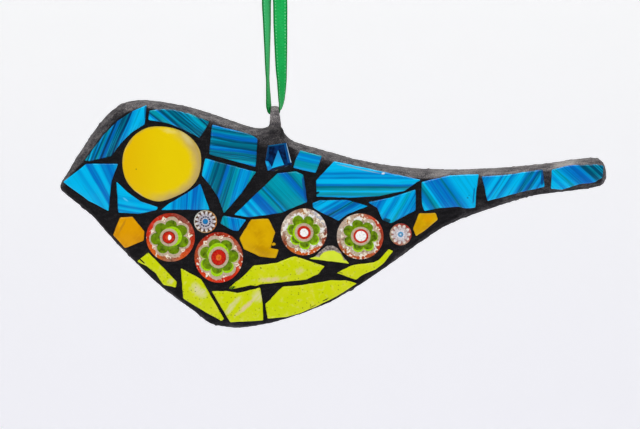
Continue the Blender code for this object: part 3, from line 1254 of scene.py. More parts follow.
    def roughen(self, body: Thing) -> None:
        """Hollow the joints, roughen the skin and raise the burrs on its edge.

        Args:
            body: The grout, whose mesh is moved in place.
        """
        data = body.data
        count = len(data.vertices)
        places = np.empty(count * 3)
        data.vertices.foreach_get("co", places)
        places = places.reshape(-1, 3)
        normals = np.array([v.normal for v in data.vertices])
        away = self.distance_to_glass(places)
        facing = np.clip(-normals[:, 1], 0, 1) * (places[:, 1] < GROUT_FACE + self.front)
        share = np.clip(away / self.hollow_reach, 0, 1)
        sink = self.hollow * share * share * (3 - 2 * share) * facing
        bumps = np.empty(count)
        fine_grain, slow_grain, burr_grain = self.grains
        slow_start, burr_start = Vector((0.5, 0.2, 0.7)), Vector((0.1, 0.9, 0.3))
        for i in range(count):
            place = Vector(places[i])
            fine = wander(place, fine_grain)
            slow = wander(place + slow_start, slow_grain)
            spike = max(0.0, wander(place + burr_start, burr_grain) - self.burr_least)
            edge = 1.0 - abs(normals[i, 1])
            bumps[i] = self.rough * (fine + 0.6 * slow)
            bumps[i] += self.burr * self.burr_steep * spike * edge
        front = places[:, 1] + normals[:, 1] * bumps
        places += normals * bumps[:, None]
        places[:, 1] = np.maximum(front + sink, GLASS_FACE + self.least_depth)
        data.vertices.foreach_set("co", places.ravel())
        data.update()

    def distance_to_glass(self, places: np.ndarray) -> np.ndarray:
        """How far each place is from the nearest tile's outline, as the tiles are seen.

        Args:
            places: The places, one in each row.

        Returns:
            Their distances in metres.
        """
        nearest = np.full(len(places), 1.0)
        flat = places[:, [0, 2]]
        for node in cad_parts:
            if not is_tile(node):
                continue
            rim = [np.array((p.x, p.z)) for p in back_rim(node)]
            for a, b in zip(rim, rim[1:] + rim[:1]):
                run = b - a
                share = np.clip((flat - a) @ run / max(run @ run, 1e-12), 0, 1)
                gap = np.linalg.norm(flat - a - share[:, None] * run, axis=1)
                nearest = np.minimum(nearest, gap)
        return nearest


@dataclass
class HangingLoop:
    """The grouted hanging loop: a rough staple that the ribbon passes through."""

    voxel: float = 0.16 * MM
    rough: float = 0.06 * MM
    grains: Place = (0.6 * MM, 1.7 * MM)
    broaden: Place = (1.06, 1.18)
    lean: float = 0.14 * MM
    # How pale the loop stays at its foot, and how it fades downward: dusty grey with painted light
    # from above.
    least_dust_and_light: float = 0.5
    dust_and_light_fall: float = 0.42

    def dust(self, height: float) -> float:
        """How pale the loop is at a height, dusty grey with painted light from above: fully at its
        top, less at its foot.
        """
        return min(1.0, max(self.least_dust_and_light, 1.0 + self.dust_and_light_fall * height / LOOP_RISE))

    def build(self) -> Thing:
        """Make the loop.

        Returns:
            The finished piece.
        """
        loop = copy_of("hanging_loop", "grouted_loop")
        apply_modifier(loop, "REMESH", mode="VOXEL", voxel_size=self.voxel)
        apply_modifier(loop, "SMOOTH", factor=0.5, iterations=3)
        for vertex in loop.data.vertices:
            rise = min(1.0, max(0.0, 1 + vertex.co.z / LOOP_RISE))
            vertex.co.x *= self.broaden[0] + (self.broaden[1] - self.broaden[0]) * rise
            vertex.co.x += self.lean * (1 - rise)
            bump = wander(vertex.co, self.grains[0]) + 0.6 * wander(vertex.co, self.grains[1])
            vertex.co += vertex.normal * bump * self.rough
        shade_smooth(loop)
        loop.data.materials.clear()
        add_dust_and_light(loop, [self.dust(vertex.co.z) for vertex in loop.data.vertices])
        smear = SandyGrout("grout_smear", dust="#686465", pale="#A29D9B")
        return finish_piece(loop, [smear.dress()], "grout_smear", "hanging_loop")


def is_tile(node: str) -> bool:
    """Whether a CAD node is a piece of glass."""
    return node not in ("grouted_body", "hanging_loop", "ribbon")


# The cut tiles.


@dataclass
class CutTile:
    """A tile cut and nibbled from sheet glass."""

    node: str
    glass: "StreakedGlass | CloudyGlass | CrescentGlass"
    blots: tuple[Blot, ...] = ()
    corner: float = 0.22 * MM
    bevel: float = 0.04 * MM
    step: float = 0.9 * MM
    cuts: Sequence[int] = (8, 4, 2, 1)
    grains: Place = (1.3 * MM, 0.6 * MM)
    nibble: float = 0.09 * MM
    swell: float = 0.09 * MM

    def corners(self) -> list[Vector]:
        """The corners of the tile's outline."""
        return back_rim(self.node)

    def middle(self) -> Vector:
        """The middle of the tile's corners."""
        corners = self.corners()
        return sum(corners, Vector()) / len(corners)

    def build(self) -> Thing:
        """Make the tile.

        Returns:
            The finished piece.
        """
        tile = copy_of(self.node, f"{self.node}_cut")
        self.round_corners(tile)
        self.nibble_edges(tile)
        apply_modifier(tile, "BEVEL", width=self.bevel, segments=2, limit_method="ANGLE",
                       angle_limit=math.radians(28))
        shade_smooth(tile, 35)
        tile.data.materials.clear()
        return finish_piece(tile, [self.glass.dress(self)], self.glass.slot, self.node)

    def round_corners(self, tile: Thing) -> None:
        """Make the faces whole again and round the upright corners.

        Args:
            tile: The copy of the CAD node.
        """
        select_only(tile)
        bpy.ops.object.mode_set(mode="EDIT")
        bpy.ops.mesh.select_all(action="SELECT")
        bpy.ops.mesh.dissolve_limited(angle_limit=math.radians(1))
        bpy.ops.mesh.select_all(action="DESELECT")
        mesh = bmesh.from_edit_mesh(tile.data)
        for edge in mesh.edges:
            run = (edge.verts[1].co - edge.verts[0].co)
            if abs(run.y) > 0.9 * run.length:
                edge.select_set(True)
        bmesh.update_edit_mesh(tile.data)
        bpy.ops.mesh.bevel(offset=self.corner, segments=2, affect="EDGES", clamp_overlap=True)
        bpy.ops.object.mode_set(mode="OBJECT")

    def nibble_edges(self, tile: Thing) -> None:
        """Break the long straight edges into short uneven steps, as nippers leave them.

        Args:
            tile: The tile, whose outline is moved in place.
        """
        mesh = bmesh.new()
        mesh.from_mesh(tile.data)
        for cuts in self.cuts:
            long = [e for e in mesh.edges
                    if e.calc_length() > self.step * (cuts + 1) * 0.75
                    and abs(e.verts[0].co.y - e.verts[1].co.y) < 0.01 * MM
                    and any(len(f.verts) == 4 for f in e.link_faces)]
            if long:
                bmesh.ops.subdivide_edges(mesh, edges=long, cuts=cuts, use_grid_fill=False)
        low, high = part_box(self.node)
        middle, half = (low + high) / 2, (high - low) / 2
        coarse, fine = self.grains
        for vertex in mesh.verts:
            place = Vector((vertex.co.x, 0, vertex.co.z))
            vertex.co.x += (place.x - middle.x) / half.x * self.swell
            vertex.co.z += (place.z - middle.z) / half.z * self.swell
            shift = Vector((wander(place, coarse), 0, wander(place + Vector((3, 0, 1)), coarse)))
            if vertex.co.y < GLASS_FACE + 0.02 * MM:
                shift.x += 0.7 * wander(place + Vector((0, 2, 0)), fine)
            vertex.co += shift * self.nibble
        mesh.to_mesh(tile.data)
        mesh.free()


LIME = CloudyGlass("#C6D206", "#CFD31E", "#D8D266", 0.8, "#50541C", 0.5)
AMBER = CloudyGlass("#DC9A00", "#C88400", "#E6AC10", 0.8, None, slot="amber_glass")
GOLD = CloudyGlass("#D6A800", "#C08E00", "#DDB40C", 0.8, None, slot="amber_glass")


def blue(lean: float, *streaks: tuple[Blue, float], **values: float) -> StreakedGlass:
    """Streaked glass, by the lean of its streaks and their shades and widths in pixels."""
    return StreakedGlass(lean, streaks, **values)


def cut_tiles() -> list[CutTile]:
    """Every cut tile with its glass, its streaks and its marks.

    Returns:
        The tiles, from the beak to the tail and then the breast to the rump.
    """
    cyan, sky, azure, royal = Blue.CYAN, Blue.SKY, Blue.AZURE, Blue.ROYAL
    teal, sea, deep, navy = Blue.TEAL, Blue.SEA, Blue.DEEP, Blue.NAVY
    sand, pink = "#D8CFA8", "#DDC0A0"
    return [
        CutTile("blue_tile_brow", blue(
            67, (teal, 2), (deep, 1.5), (cyan, 1.5), (deep, 2.5), (azure, 1), (deep, 2),
            (teal, 1.5), (azure, 1.5), (navy, 2.5), (royal, 2), (deep, 5), (sea, 1),
            (navy, 3), (azure, 3), (cyan, 12), (sky, 2)),
            (Blot((146.2, 112), (1.2, 7), "#0A6FA0", 0, 0.3, 0.3, square=5),)),
        CutTile("blue_tile_crown", blue(
            140, (cyan, 4), (azure, 2), (deep, 1.5), (teal, 6), (azure, 1), (deep, 3),
            (sea, 3), (deep, 2), (sea, 2), (deep, 4), (sea, 4), (teal, 3), (deep, 1.5),
            (sea, 3)),
            (Blot((190, 112.5), (15, 0.8), "#B9B6AC", -19, 0.6, 0.5, 0.75, 5),)),
        CutTile("blue_tile_nape", blue(
            -7, (azure, 3), (deep, 1.5), (sea, 4), (azure, 1.5), (royal, 3), (deep, 2),
            (sea, 5), (deep, 1.5), (royal, 3.5), (sea, 3), (deep, 1), (sea, 3.5), (teal, 2),
            (azure, 3.5), waver=1.3, blend=0.36)),
        CutTile("blue_tile_cheek", blue(
            72, (cyan, 4), (azure, 3.5), (sea, 3), (deep, 1.5), (sea, 4.5), (deep, 1.5), (royal, 3),
            (sea, 3), (deep, 1.5), (teal, 4), (azure, 2.5), (sky, 3.5), (azure, 3), (teal, 3.5),
            blend=0.3)),
        CutTile("blue_tile_beak", blue(
            120, (cyan, 17), (sky, 2), (cyan, 6), (royal, 2), (azure, 3), (cyan, 4),
            (azure, 6), (royal, 1.5), (azure, 4), (sky, 4), fan=-0.03,
            blend=0.16)),
        CutTile("blue_tile_chin", blue(
            -10, (cyan, 15), (sky, 1.5), (cyan, 5), (azure, 1.5), (cyan, 3), (azure, 1.5),
            (sky, 2), blend=0.16), (Blot((126, 199), (4, 1.2), "#5CCBF0", -35, 0.5, 0.7, 0.7),)),
        CutTile("blue_tile_throat", blue(
            85, (cyan, 10), (azure, 3), (sky, 4), (azure, 5), (royal, 2), (sky, 3), (royal, 6),
            (azure, 3), (sky, 3), (cyan, 5), blend=0.25)),
        CutTile("blue_tile_back", blue(
            -12, (teal, 3), (azure, 5), (sky, 2), (azure, 2.5), (teal, 10), (sky, 2.5),
            blend=0.15)),
        CutTile("blue_tile_shoulder", blue(
            133, (cyan, 9), (azure, 4), (cyan, 4), (azure, 3), (cyan, 2), (royal, 12),
            (teal, 2.5), (sea, 2), (azure, 1.5), (sea, 2), (teal, 20), (royal, 5), (sea, 1.5),
            (teal, 9), blend=0.2),
            (Blot((305.2, 188), (14, 2.6), "#0A4E96", -82, 0.2, 0.3, 0.9, 5),)),
        CutTile("blue_tile_breast", blue(
            100, (teal, 7), (azure, 2), (royal, 3), (azure, 3), (sky, 6))),
        CutTile("blue_tile_wing_upper", blue(
            0, (cyan, 11.5), (azure, 2), (sky, 3), (azure, 1), (cyan, 6), (royal, 1.5),
            (sea, 2.5), (teal, 2), (cyan, 1.5), (teal, 4), (sky, 1.5), blend=0.2),
            (Blot((317.2, 192.7), (2.8, 1.5), "#082A36", 20, 0.5, 0.4),
             Blot((383, 173.2), (2.2, 1.2), "#E6E6E0", 10, 0.5, 0.5, 0.9),
             Blot((358, 168.6), (26, 0.6), "#9AA6A2", -12, 0.7, 0.5, 0.6, 5))),
        CutTile("blue_tile_wing_lower", blue(
            30, (sky, 5), (cyan, 4), (azure, 3), (sky, 2), (royal, 4), (deep, 2.5), (royal, 3),
            (azure, 4), (sky, 3))),
        CutTile("blue_tile_wing_tip", blue(
            60, (azure, 8), (royal, 4), (azure, 2), (cyan, 6), (azure, 3), (sky, 2), (cyan, 5),
            (teal, 2), (sky, 3), (azure, 3), (sky, 2), (azure, 5)),
            (Blot((386.5, 220), (5.4, 3), "#052E38", -15, 0.7, 0.5, 0.9),)),
        CutTile("blue_tile_tail_root", blue(
            125, (cyan, 4), (azure, 4), (sea, 2.5), (teal, 2), (cyan, 2), (azure, 3), (royal, 4),
            (azure, 1.5), (royal, 5), (sea, 1.2), (azure, 3), (cyan, 26), blend=0.18),
            (Blot((473.2, 195), (9, 0.9), "#0A5C9C", 85, 0.2, 0.3, 0.8, 5),
             Blot((467, 197.5), (1.1, 0.8), "#0A4E66", 0, 0.4, 0.5, 0.8),
             Blot((468.5, 195), (0.8, 0.6), "#0A4E66", 0, 0.4, 0.5, 0.7))),
        CutTile("blue_tile_tail_middle", blue(
            57, (azure, 9), (sky, 2), (cyan, 4), (azure, 2), (cyan, 7), (azure, 1.5), (sky, 2),
            (cyan, 8), (azure, 2), (deep, 4), (royal, 3), (deep, 2), (sky, 4), (azure, 3),
            (sky, 4)),
            (Blot((541.6, 177), (9, 1.8), "#07407E", 86, 0.3, 0.3, 0.9, 5),)),
        CutTile("blue_tile_tail_end", blue(
            138, (cyan, 8), (azure, 2), (cyan, 6), (teal, 1), (sky, 3), (azure, 4), (royal, 9),
            (azure, 1), (deep, 5), (sea, 1.5), (deep, 5), (sea, 1.5), (deep, 3))),
        CutTile("amber_tile_breast", AMBER,
                (Blot((123, 226), (11, 1.6), "#B87C18", 62, 0.5, 0.6, 0.7),)),
        CutTile("amber_tile_middle", GOLD,
                (Blot((262, 250), (20, 5), "#B88A00", -18, 0.8, 0.9, 0.6),)),
        CutTile("amber_tile_rump", GOLD,
                (Blot((427, 218), (9, 7), "#DC9C00", 0, 0.6, 0.9, 0.7),)),
        CutTile("lime_tile_breast", LIME,
                (Blot((142.6, 260.6), (4.2, 0.8), "#161C06", -42, 0.2, 0.3, 1.0, 3),
                 Blot((171, 281), (5, 4), sand, 40, 0.9, 0.9, 0.7))),
        CutTile("lime_tile_belly_front", LIME,
                (Blot((199, 290), (13, 7), sand, -40, 0.9, 0.9, 0.85),)),
        CutTile("lime_tile_belly_middle", LIME,
                (Blot((232, 306), (17, 3.5), sand, 50, 0.9, 0.9, 0.8),
                 Blot((246, 306), (17, 3.2), pink, 42, 1.0, 0.8, 0.85),
                 Blot((258, 296), (9, 8), sand, 40, 0.9, 0.9, 0.7))),
        CutTile("lime_tile_belly_upper", LIME,
                (Blot((270, 279), (17, 3.4), pink, 4, 1.3, 0.8, 0.75),
                 Blot((300, 270), (6, 5), pink, 20, 1.3, 0.9, 0.6),
                 Blot((232.5, 287), (4.4, 2.4), "#1A5210", 12, 0.8, 0.5),
                 Blot((261, 267.5), (1.3, 0.8), "#5A5A20", -20, 0.4, 0.4, 0.9))),
        CutTile("lime_tile_belly_rear", LIME,
                (Blot((325.3, 299.3), (4.4, 0.6), "#30380C", 28, 0.9, 0.4, 0.9),
                 Blot((312.5, 306), (4, 0.5), "#3C4410", 28, 0.9, 0.4, 0.8))),
        CutTile("lime_tile_rump", LIME,
                (Blot((340.3, 272), (2.2, 0.9), "#2A3210", -25, 0.8, 0.5, 0.8),)),
    ]


# The odd tiles.


def polar_disc(outlines: Sequence[Sequence[Vector]], layers: Sequence[int], centre: Vector,
               back: float) -> Mesh:
    """A disc from a middle point through nested outlines, with walls to its back.

    Args:
        outlines: The nested outlines, from the inside out, each of as many points.
        layers: The material of each outline, and of what lies inside it.
        centre: The middle point.
        back: The y of its flat back.

    Returns:
        The closed mesh.
    """
    mesh = bmesh.new()
    middle = mesh.verts.new(centre)
    rings = [[mesh.verts.new(p) for p in outline] for outline in outlines]
    rings.append([mesh.verts.new((p.x, back, p.z)) for p in outlines[-1]])
    owners = [*layers[1:], layers[-1]]
    count = len(outlines[0])
    for i in range(count):
        j = (i + 1) % count
        mesh.faces.new((middle, rings[0][i], rings[0][j])).material_index = layers[0]
        for inner, outer, owner in zip(rings, rings[1:], owners):
            mesh.faces.new((inner[i], outer[i], outer[j], inner[j])).material_index = owner
    mesh.faces.new(rings[-1]).material_index = layers[-1]
    bmesh.ops.recalc_face_normals(mesh, faces=mesh.faces)
    return mesh


@dataclass
class EyeDisc:
    """The large yellow disc, gently domed, with a pale frosted edge at its lower right that is
    partly a painted highlight.
    """

    node: str = "yellow_eye_disc"
    steps: int = 6
    shares: Sequence[float] = (0.12, 0.3, 0.5, 0.68, 0.8, 0.88, 0.93, 0.965, 0.985, 1.0)
    crown: float = 0.28 * MM
    roundness: int = 5
    swell: float = 0.12 * MM
    tuck: float = 0.34 * MM
    face_middle: Place = (161, 164)
    face_reach: Place = (38, 38)
    edge_middle: Place = (161.8, 163.8)
    edge_reach: Place = (39.8, 37.8)
    # Pale frosted marks on the rim, partly painted highlights, and a dark seed.
    frost: Sequence[Blot] = (
        Blot((187, 138), (14, 4.4), "#DDD08A", -48, 0.8, 0.9, 0.6),
        Blot((170, 131), (12, 3.4), "#E6D678", -14, 0.9, 0.9, 0.6),
        Blot((140, 194.5), (9, 2.2), "#B5A88A", -38, 0.7, 0.8, 0.8),
        Blot((137, 169), (0.9, 0.9), "#8A7A10", 0, 0.3, 0.5, 0.9),
    )

    def build(self) -> Thing:
        """Make the disc.

        Returns:
            The finished piece.
        """
        corners = back_rim(self.node)
        closed = curve_through(corners[-1:] + corners + corners[:2], self.steps)
        rim = [Vector(p) for p in closed[self.steps:-self.steps]]
        centre = sum(rim, Vector()) / len(rim)
        rim = [p + (p - centre).normalized() * self.swell for p in rim]
        for point in rim:
            point.x += self.tuck * max(0.0, (centre.x - point.x) / (rim[0] - centre).length)
        outlines = []
        for share in self.shares:
            fall = self.crown * (1 - math.sqrt(max(0.0, 1 - share ** self.roundness)))
            outlines.append([
                Vector((centre.x + (p.x - centre.x) * share, GLASS_FACE + fall,
                        centre.z + (p.z - centre.z) * share)) for p in rim])
        top = Vector((centre.x, GLASS_FACE, centre.z))
        disc = new_thing("yellow_eye_disc_domed", polar_disc(
            outlines, [0] * len(outlines), top, rim[0].y))
        shade_smooth(disc, 40)
        return finish_piece(disc, [self.glass()], "yellow_glass", self.node)

    def glass(self) -> Material:
        """Yellow glass, warmer at the left, with its frosted edge, partly a painted highlight, and a
        dark seed.

        Returns:
            The material.
        """
        surface = Surface("yellow_disc_glass", 0.24, specular=0.14)
        x, _, _ = surface.parts(surface.near(self.face_middle, self.face_reach))
        slow = surface.grain(0.2, 2.0)
        base = surface.blend(surface.rise(x, 0.3, -1.1), "#E7CA00", "#E2B400")
        base = surface.blend(surface.times(slow, 0.4), base, "#DDC000")
        side, _, height = surface.parts(surface.near(self.edge_middle, self.edge_reach))
        wander_in = surface.minus(surface.grain(0.45, 2.0), 0.5)
        ragged = surface.calc("MULTIPLY_ADD", wander_in, 0.16, surface.length(side, height))
        rightward = surface.calc("MULTIPLY_ADD", height, -0.35, side)
        # The pale edge at the lower right: frosted glass with a painted highlight.
        pale = surface.times(surface.rise(ragged, 0.68, 0.96), surface.rise(rightward, -0.15, 0.55))
        base = surface.blend(pale, base, "#BDA35E")
        thin = surface.rise(ragged, 0.93, 1.0, 0.6)
        base = surface.blend(thin, base, "#B89E40")
        for blot in self.frost:
            base = blot.over(surface, base)
        surface.color(base)
        surface.bump(slow, 0.2 * MM, 0.4)
        return surface.material


@dataclass(frozen=True)
class FacetLightAndShade:
    """One facet of the dark blue tile in painted light and shade, with its colours down and up."""

    corners: Sequence[Place]
    low: str
    high: str
    soft: float = 0.05
    fade: float = 15

    def over(self, surface: Surface, below: Socket) -> Socket:
        """Lay the facet's painted light and shade over a colour.

        Args:
            surface: The material.
            below: The colour it covers.

        Returns:
            The colour with the facet.
        """
        _, _, up = surface.parts(surface.near(self.corners[0], (self.fade, self.fade)))
        tint = surface.blend(surface.rise(up, 0.0, 1.0), self.low, self.high)
        return surface.blend(self.inside(surface), below, tint)

    def inside(self, surface: Surface) -> Socket:
        """Where a point lies inside the facet.

        Args:
            surface: The material.

        Returns:
            1 inside it and 0 outside.
        """
        points = [on_bird(p) for p in self.corners]
        pairs = list(zip(points, points[1:] + points[:1]))
        if sum(a.x * b.z - b.x * a.z for a, b in pairs) < 0:
            pairs = [(b, a) for a, b in pairs]
        inside: object = 1.0
        for start, end in pairs:
            lean = math.degrees(math.atan2(end.z - start.z, end.x - start.x))
            _, _, side = surface.parts(surface.local(surface.place, start, lean, (MM, MM, MM)))
            inside = surface.times(inside, surface.rise(side, -self.soft, self.soft))
        return inside


@dataclass
class FacetedTile:
    """The dark blue tile: a top facet between sloping ones, painted cyan and navy as light and
    shade, and a chipped lower edge.
    """

    node: str = "dark_blue_faceted_tile"
    apex: Place = (278.3, 149.8)
    foot_left: Place = (271.8, 168.2)
    foot_right: Place = (284.3, 164.6)
    drop: float = 0.27 * MM
    bevel: float = 0.06 * MM
    # Painted light and shade on the slopes: a dark left wall, a lit top edge, a dark right wall, a
    # painted highlight along the right edge, and a lit lower left.
    facet_light_and_shade: Sequence[FacetLightAndShade] = (
        FacetLightAndShade(((267.4, 147), (269.6, 147), (268.4, 158), (265.2, 161.5)), "#053A68", "#021C38"),
        FacetLightAndShade(((267.4, 145.4), (287, 142.8), (286.6, 144), (268.6, 146.6)), "#0A527E", "#0A527E"),
        FacetLightAndShade(((284, 143.4), (287.4, 142.9), (291.4, 162), (288, 163.2)), "#064A86", "#04305C"),
        # A painted highlight along the right edge.
        FacetLightAndShade(((286.3, 143.4), (287.4, 142.6), (291.9, 162), (290.6, 162.6)),
              "#9CBFD4", "#DDE8EC"),
        FacetLightAndShade(((265, 160.5), (268.6, 161), (272.8, 168), (268.2, 170.8)), "#0B7CBE", "#08467C"),
    )
    # The chipped lower edge: a cyan mark, a painted shadow, nearly black, on its lower side, and two
    # painted highlights.
    chip_shade_and_highlights: Sequence[Blot] = (
        Blot((267.6, 164), (1.6, 3.4), "#16B0E4", 25, 0.5, 0.5, 0.8),
        Blot((283.4, 168.4), (10.5, 2.7), "#0A0D14", 14, 0.4, 0.25, 1.0, 3),
        Blot((276.5, 170.2), (3.4, 0.7), "#5C6458", 22, 0.8, 0.8, 0.6),
        Blot((286.3, 166.2), (3.4, 0.6), "#34556C", 24, 0.8, 0.8, 0.6),
    )

    def build(self) -> Thing:
        """Make the tile.

        Returns:
            The finished piece.
        """
        rim = back_rim(self.node)
        window = [on_bird(p) for p in (self.foot_left, self.foot_right, self.apex)]
        mesh = bmesh.new()
        low = [mesh.verts.new(p) for p in rim]
        high = [mesh.verts.new((p.x, GLASS_FACE + self.drop, p.z)) for p in rim]
        tops = [mesh.verts.new(p) for p in window]
        nearest = [min(tops, key=lambda t: math.hypot(p.x - t.co.x, p.z - t.co.z)) for p in rim]
        mesh.faces.new(tops)
        mesh.faces.new(low)
        for i in range(len(rim)):
            j = (i + 1) % len(rim)
            mesh.faces.new((low[i], low[j], high[j], high[i]))
            slope = (high[i], high[j], nearest[j], nearest[i])
            mesh.faces.new(slope[:3] if nearest[i] is nearest[j] else slope)
        bmesh.ops.recalc_face_normals(mesh, faces=mesh.faces)
        bmesh.ops.triangulate(mesh, faces=[f for f in mesh.faces if len(f.verts) == 4])
        tile = new_thing("dark_blue_faceted_tile_cut", mesh)
        apply_modifier(tile, "BEVEL", width=self.bevel, segments=2, limit_method="ANGLE",
                       angle_limit=math.radians(12))
        return finish_piece(tile, [self.glass()], "navy_glass", self.node)

    def glass(self) -> Material:
        """Navy glass with painted light and shade: a cyan facet of painted light through the glass,
        painted highlights on its edges, and a painted shadow, nearly black, on the chipped lower
        edge.

        Returns:
            The material.
        """
        surface = Surface("faceted_navy_glass", 0.14, specular=0.14)
        slow = surface.grain(0.9, 3.0)
        base = surface.blend(surface.rise(slow, 0.4, 0.65), "#021230", "#052C5C")
        # The cyan window: painted light seen through the glass.
        window = FacetLightAndShade((self.foot_left, self.foot_right, self.apex), "#08B0E4", "#1E86C4")
        for facet in (*self.facet_light_and_shade, window):
            base = facet.over(surface, base)
        for blot in self.chip_shade_and_highlights:
            base = blot.over(surface, base)
        surface.color(base)
        surface.bump(slow, 0.25 * MM, 0.6)
        return surface.material


@dataclass(frozen=True)
class CrescentGlass:
    """Lime glass with a chipped, frosted crescent round its top."""

    dome_middle: Place = (331, 263.5)
    dome_reach: Place = (13.8, 14)
    shoulder: Place = (330, 257.5)
    lean: float = -7.0
    slot: str = "lime_glass"

    def dress(self, tile: CutTile) -> Material:
        """The glass of the tile.

        Args:
            tile: The tile.

        Returns:
            The material.
        """
        surface = Surface(f"{tile.node}_glass", 0.3, specular=0.35)
        quick = surface.grain(2.4, 3.0)
        frost = surface.blend(surface.rise(quick, 0.40, 0.62), "#5E5450", "#A89C94")
        slow = surface.grain(0.5, 2.0)
        lime = surface.blend(slow, "#C9DE08", "#DBE53A")
        dome = blot_effect().place_in(
            surface, Vector=surface.near(self.dome_middle, self.dome_reach),
            Millimetres=surface.millimetres, Ragged=0.16, Soft=0.10, Square=2.2)["Mask"]
        _, _, up = surface.parts(surface.measured(on_bird(self.shoulder), self.lean))
        whole = surface.calc("MAXIMUM", dome, surface.rise(up, 0.1, -0.3))
        surface.color(surface.blend(whole, frost, lime))
        height = surface.plus(whole, surface.times(quick, 0.4))
        surface.bump(height, 0.25 * MM, 0.8)
        return surface.material


@dataclass
class AmberCrumb:
    """The crumb of amber glass in the notch of the middle amber tile."""

    centre: Place = (273.7, 243.7)
    size: float = 0.42 * MM
    shape: tuple[float, float, float] = (1.1, 0.8, 0.8)
    uneven: float = 0.35
    sunk: float = 0.1 * MM

    def build(self) -> Thing:
        """Make the crumb.

        Returns:
            The finished piece.
        """
        bpy.ops.mesh.primitive_ico_sphere_add(subdivisions=2, radius=self.size)
        crumb = bpy.context.active_object
        crumb.name = "amber_crumb"
        middle = on_bird(self.centre, GROUT_FACE + self.sunk)
        for vertex in crumb.data.vertices:
            swell = 1 + self.uneven * wander(vertex.co + Vector((1, 0, 0)), 0.5 * MM)
            vertex.co = middle + vertex.co * Vector(self.shape) * swell
        return finish_piece(crumb, [GOLD.dress(CutTile("amber_tile_middle", GOLD))], "amber_glass")


# The slices of cane.


Ring = Callable[[float], float]
# GLOW is the bright lime of the painted highlights in the petals' green glass, and of its lighter
# mottling.
BEIGE, GLOW, LEAF, CREAM, RIM = "#BDA78E", "#9ACC04", "#628008", "#EADFCB", "#A8321A"


@dataclass(frozen=True)
class Layer:
    """One layer of a slice: how far out it reaches, its colour and its sink in millimetres."""

    edge: Ring
    color: str
    sink: float = 0.0


@dataclass
class CaneSlice:
    """A slice of a glass cane: layers of glass set in each other, on a domed face."""

    node: str
    centre: Place
    sides: ClassVar[int]
    steps: ClassVar[Sequence[Place]]
    crown: ClassVar[float]
    steep: ClassVar[int]
    waves: ClassVar[float] = 0.0
    uneven: ClassVar[float] = 0.0

    def size(self) -> Place:
        """How far the slice reaches across and up, in pixels."""
        raise NotImplementedError

    def middle(self, away: float) -> Place:
        """The middle of the layer that lies this share of the way out."""
        return self.centre

    def layers(self) -> list[Layer]:
        """The layers from the inside out."""
        raise NotImplementedError

    def point(self, angle: float, reach: float, sink: float) -> Vector:
        """A point of the face, whose inner layers are shifted and a little out of round.

        Args:
            angle: Its direction from the middle.
            reach: How far out it lies, in pixels.
            sink: How far it lies below the dome, in millimetres.

        Returns:
            The point.
        """
        wide, tall = self.size()
        away = reach / wide
        reach *= 1 + self.uneven * (1 - away) * math.sin(2 * angle + self.centre[0])
        stretch = 1 + (tall / wide - 1) * abs(math.sin(angle))
        x, down = self.middle(away)
        place = on_bird((x + reach * math.cos(angle), down - reach * stretch * math.sin(angle)))
        dip = sink * MM + self.crown * away ** self.steep
        dip += self.waves * (1 + wander(place, 1.2 * MM))
        place.y = GLASS_FACE + max(0.0, dip)
        return place

    def glass(self, number: int, color: str) -> Material:
        """The glass of one layer.

        Args:
            number: The layer, from the inside out.
            color: Its colour.

        Returns:
            The material.
        """
        raise NotImplementedError

    def build(self) -> Thing:
        """Make the slice.

        Returns:
            The finished piece.
        """
        layers = self.layers()
        outlines, owners = [], []
        inner: Ring = lambda angle: 0.0
        for number, layer in enumerate(layers):
            for share, depth in self.steps:
                outlines.append(self.outline(inner, layer, share, depth))
                owners.append(number)
            inner = layer.edge
        mesh = polar_disc(outlines, owners, on_bird(self.centre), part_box(self.node)[1].y)
        piece = new_thing(f"{self.node}_slice", mesh)
        shade_smooth(piece, 45)
        glass = [self.glass(number, layer.color) for number, layer in enumerate(layers)]
        return finish_piece(piece, glass, "millefiori_glass", self.node)

    def outline(self, inner: Ring, layer: Layer, share: float, depth: float) -> list[Vector]:
        """An outline between the edges of two layers.

        Args:
            inner: How far the layer inside reaches.
            layer: The layer.
            share: Where the outline lies across it, from 0 to 1.
            depth: How much of the layer's sink is reached there.

        Returns:
            Its points.
        """
        points = []
        for k in range(self.sides):
            angle = 2 * math.pi * k / self.sides
            reach = inner(angle) + (layer.edge(angle) - inner(angle)) * share
            points.append(self.point(angle, reach, layer.sink * depth))
        return points


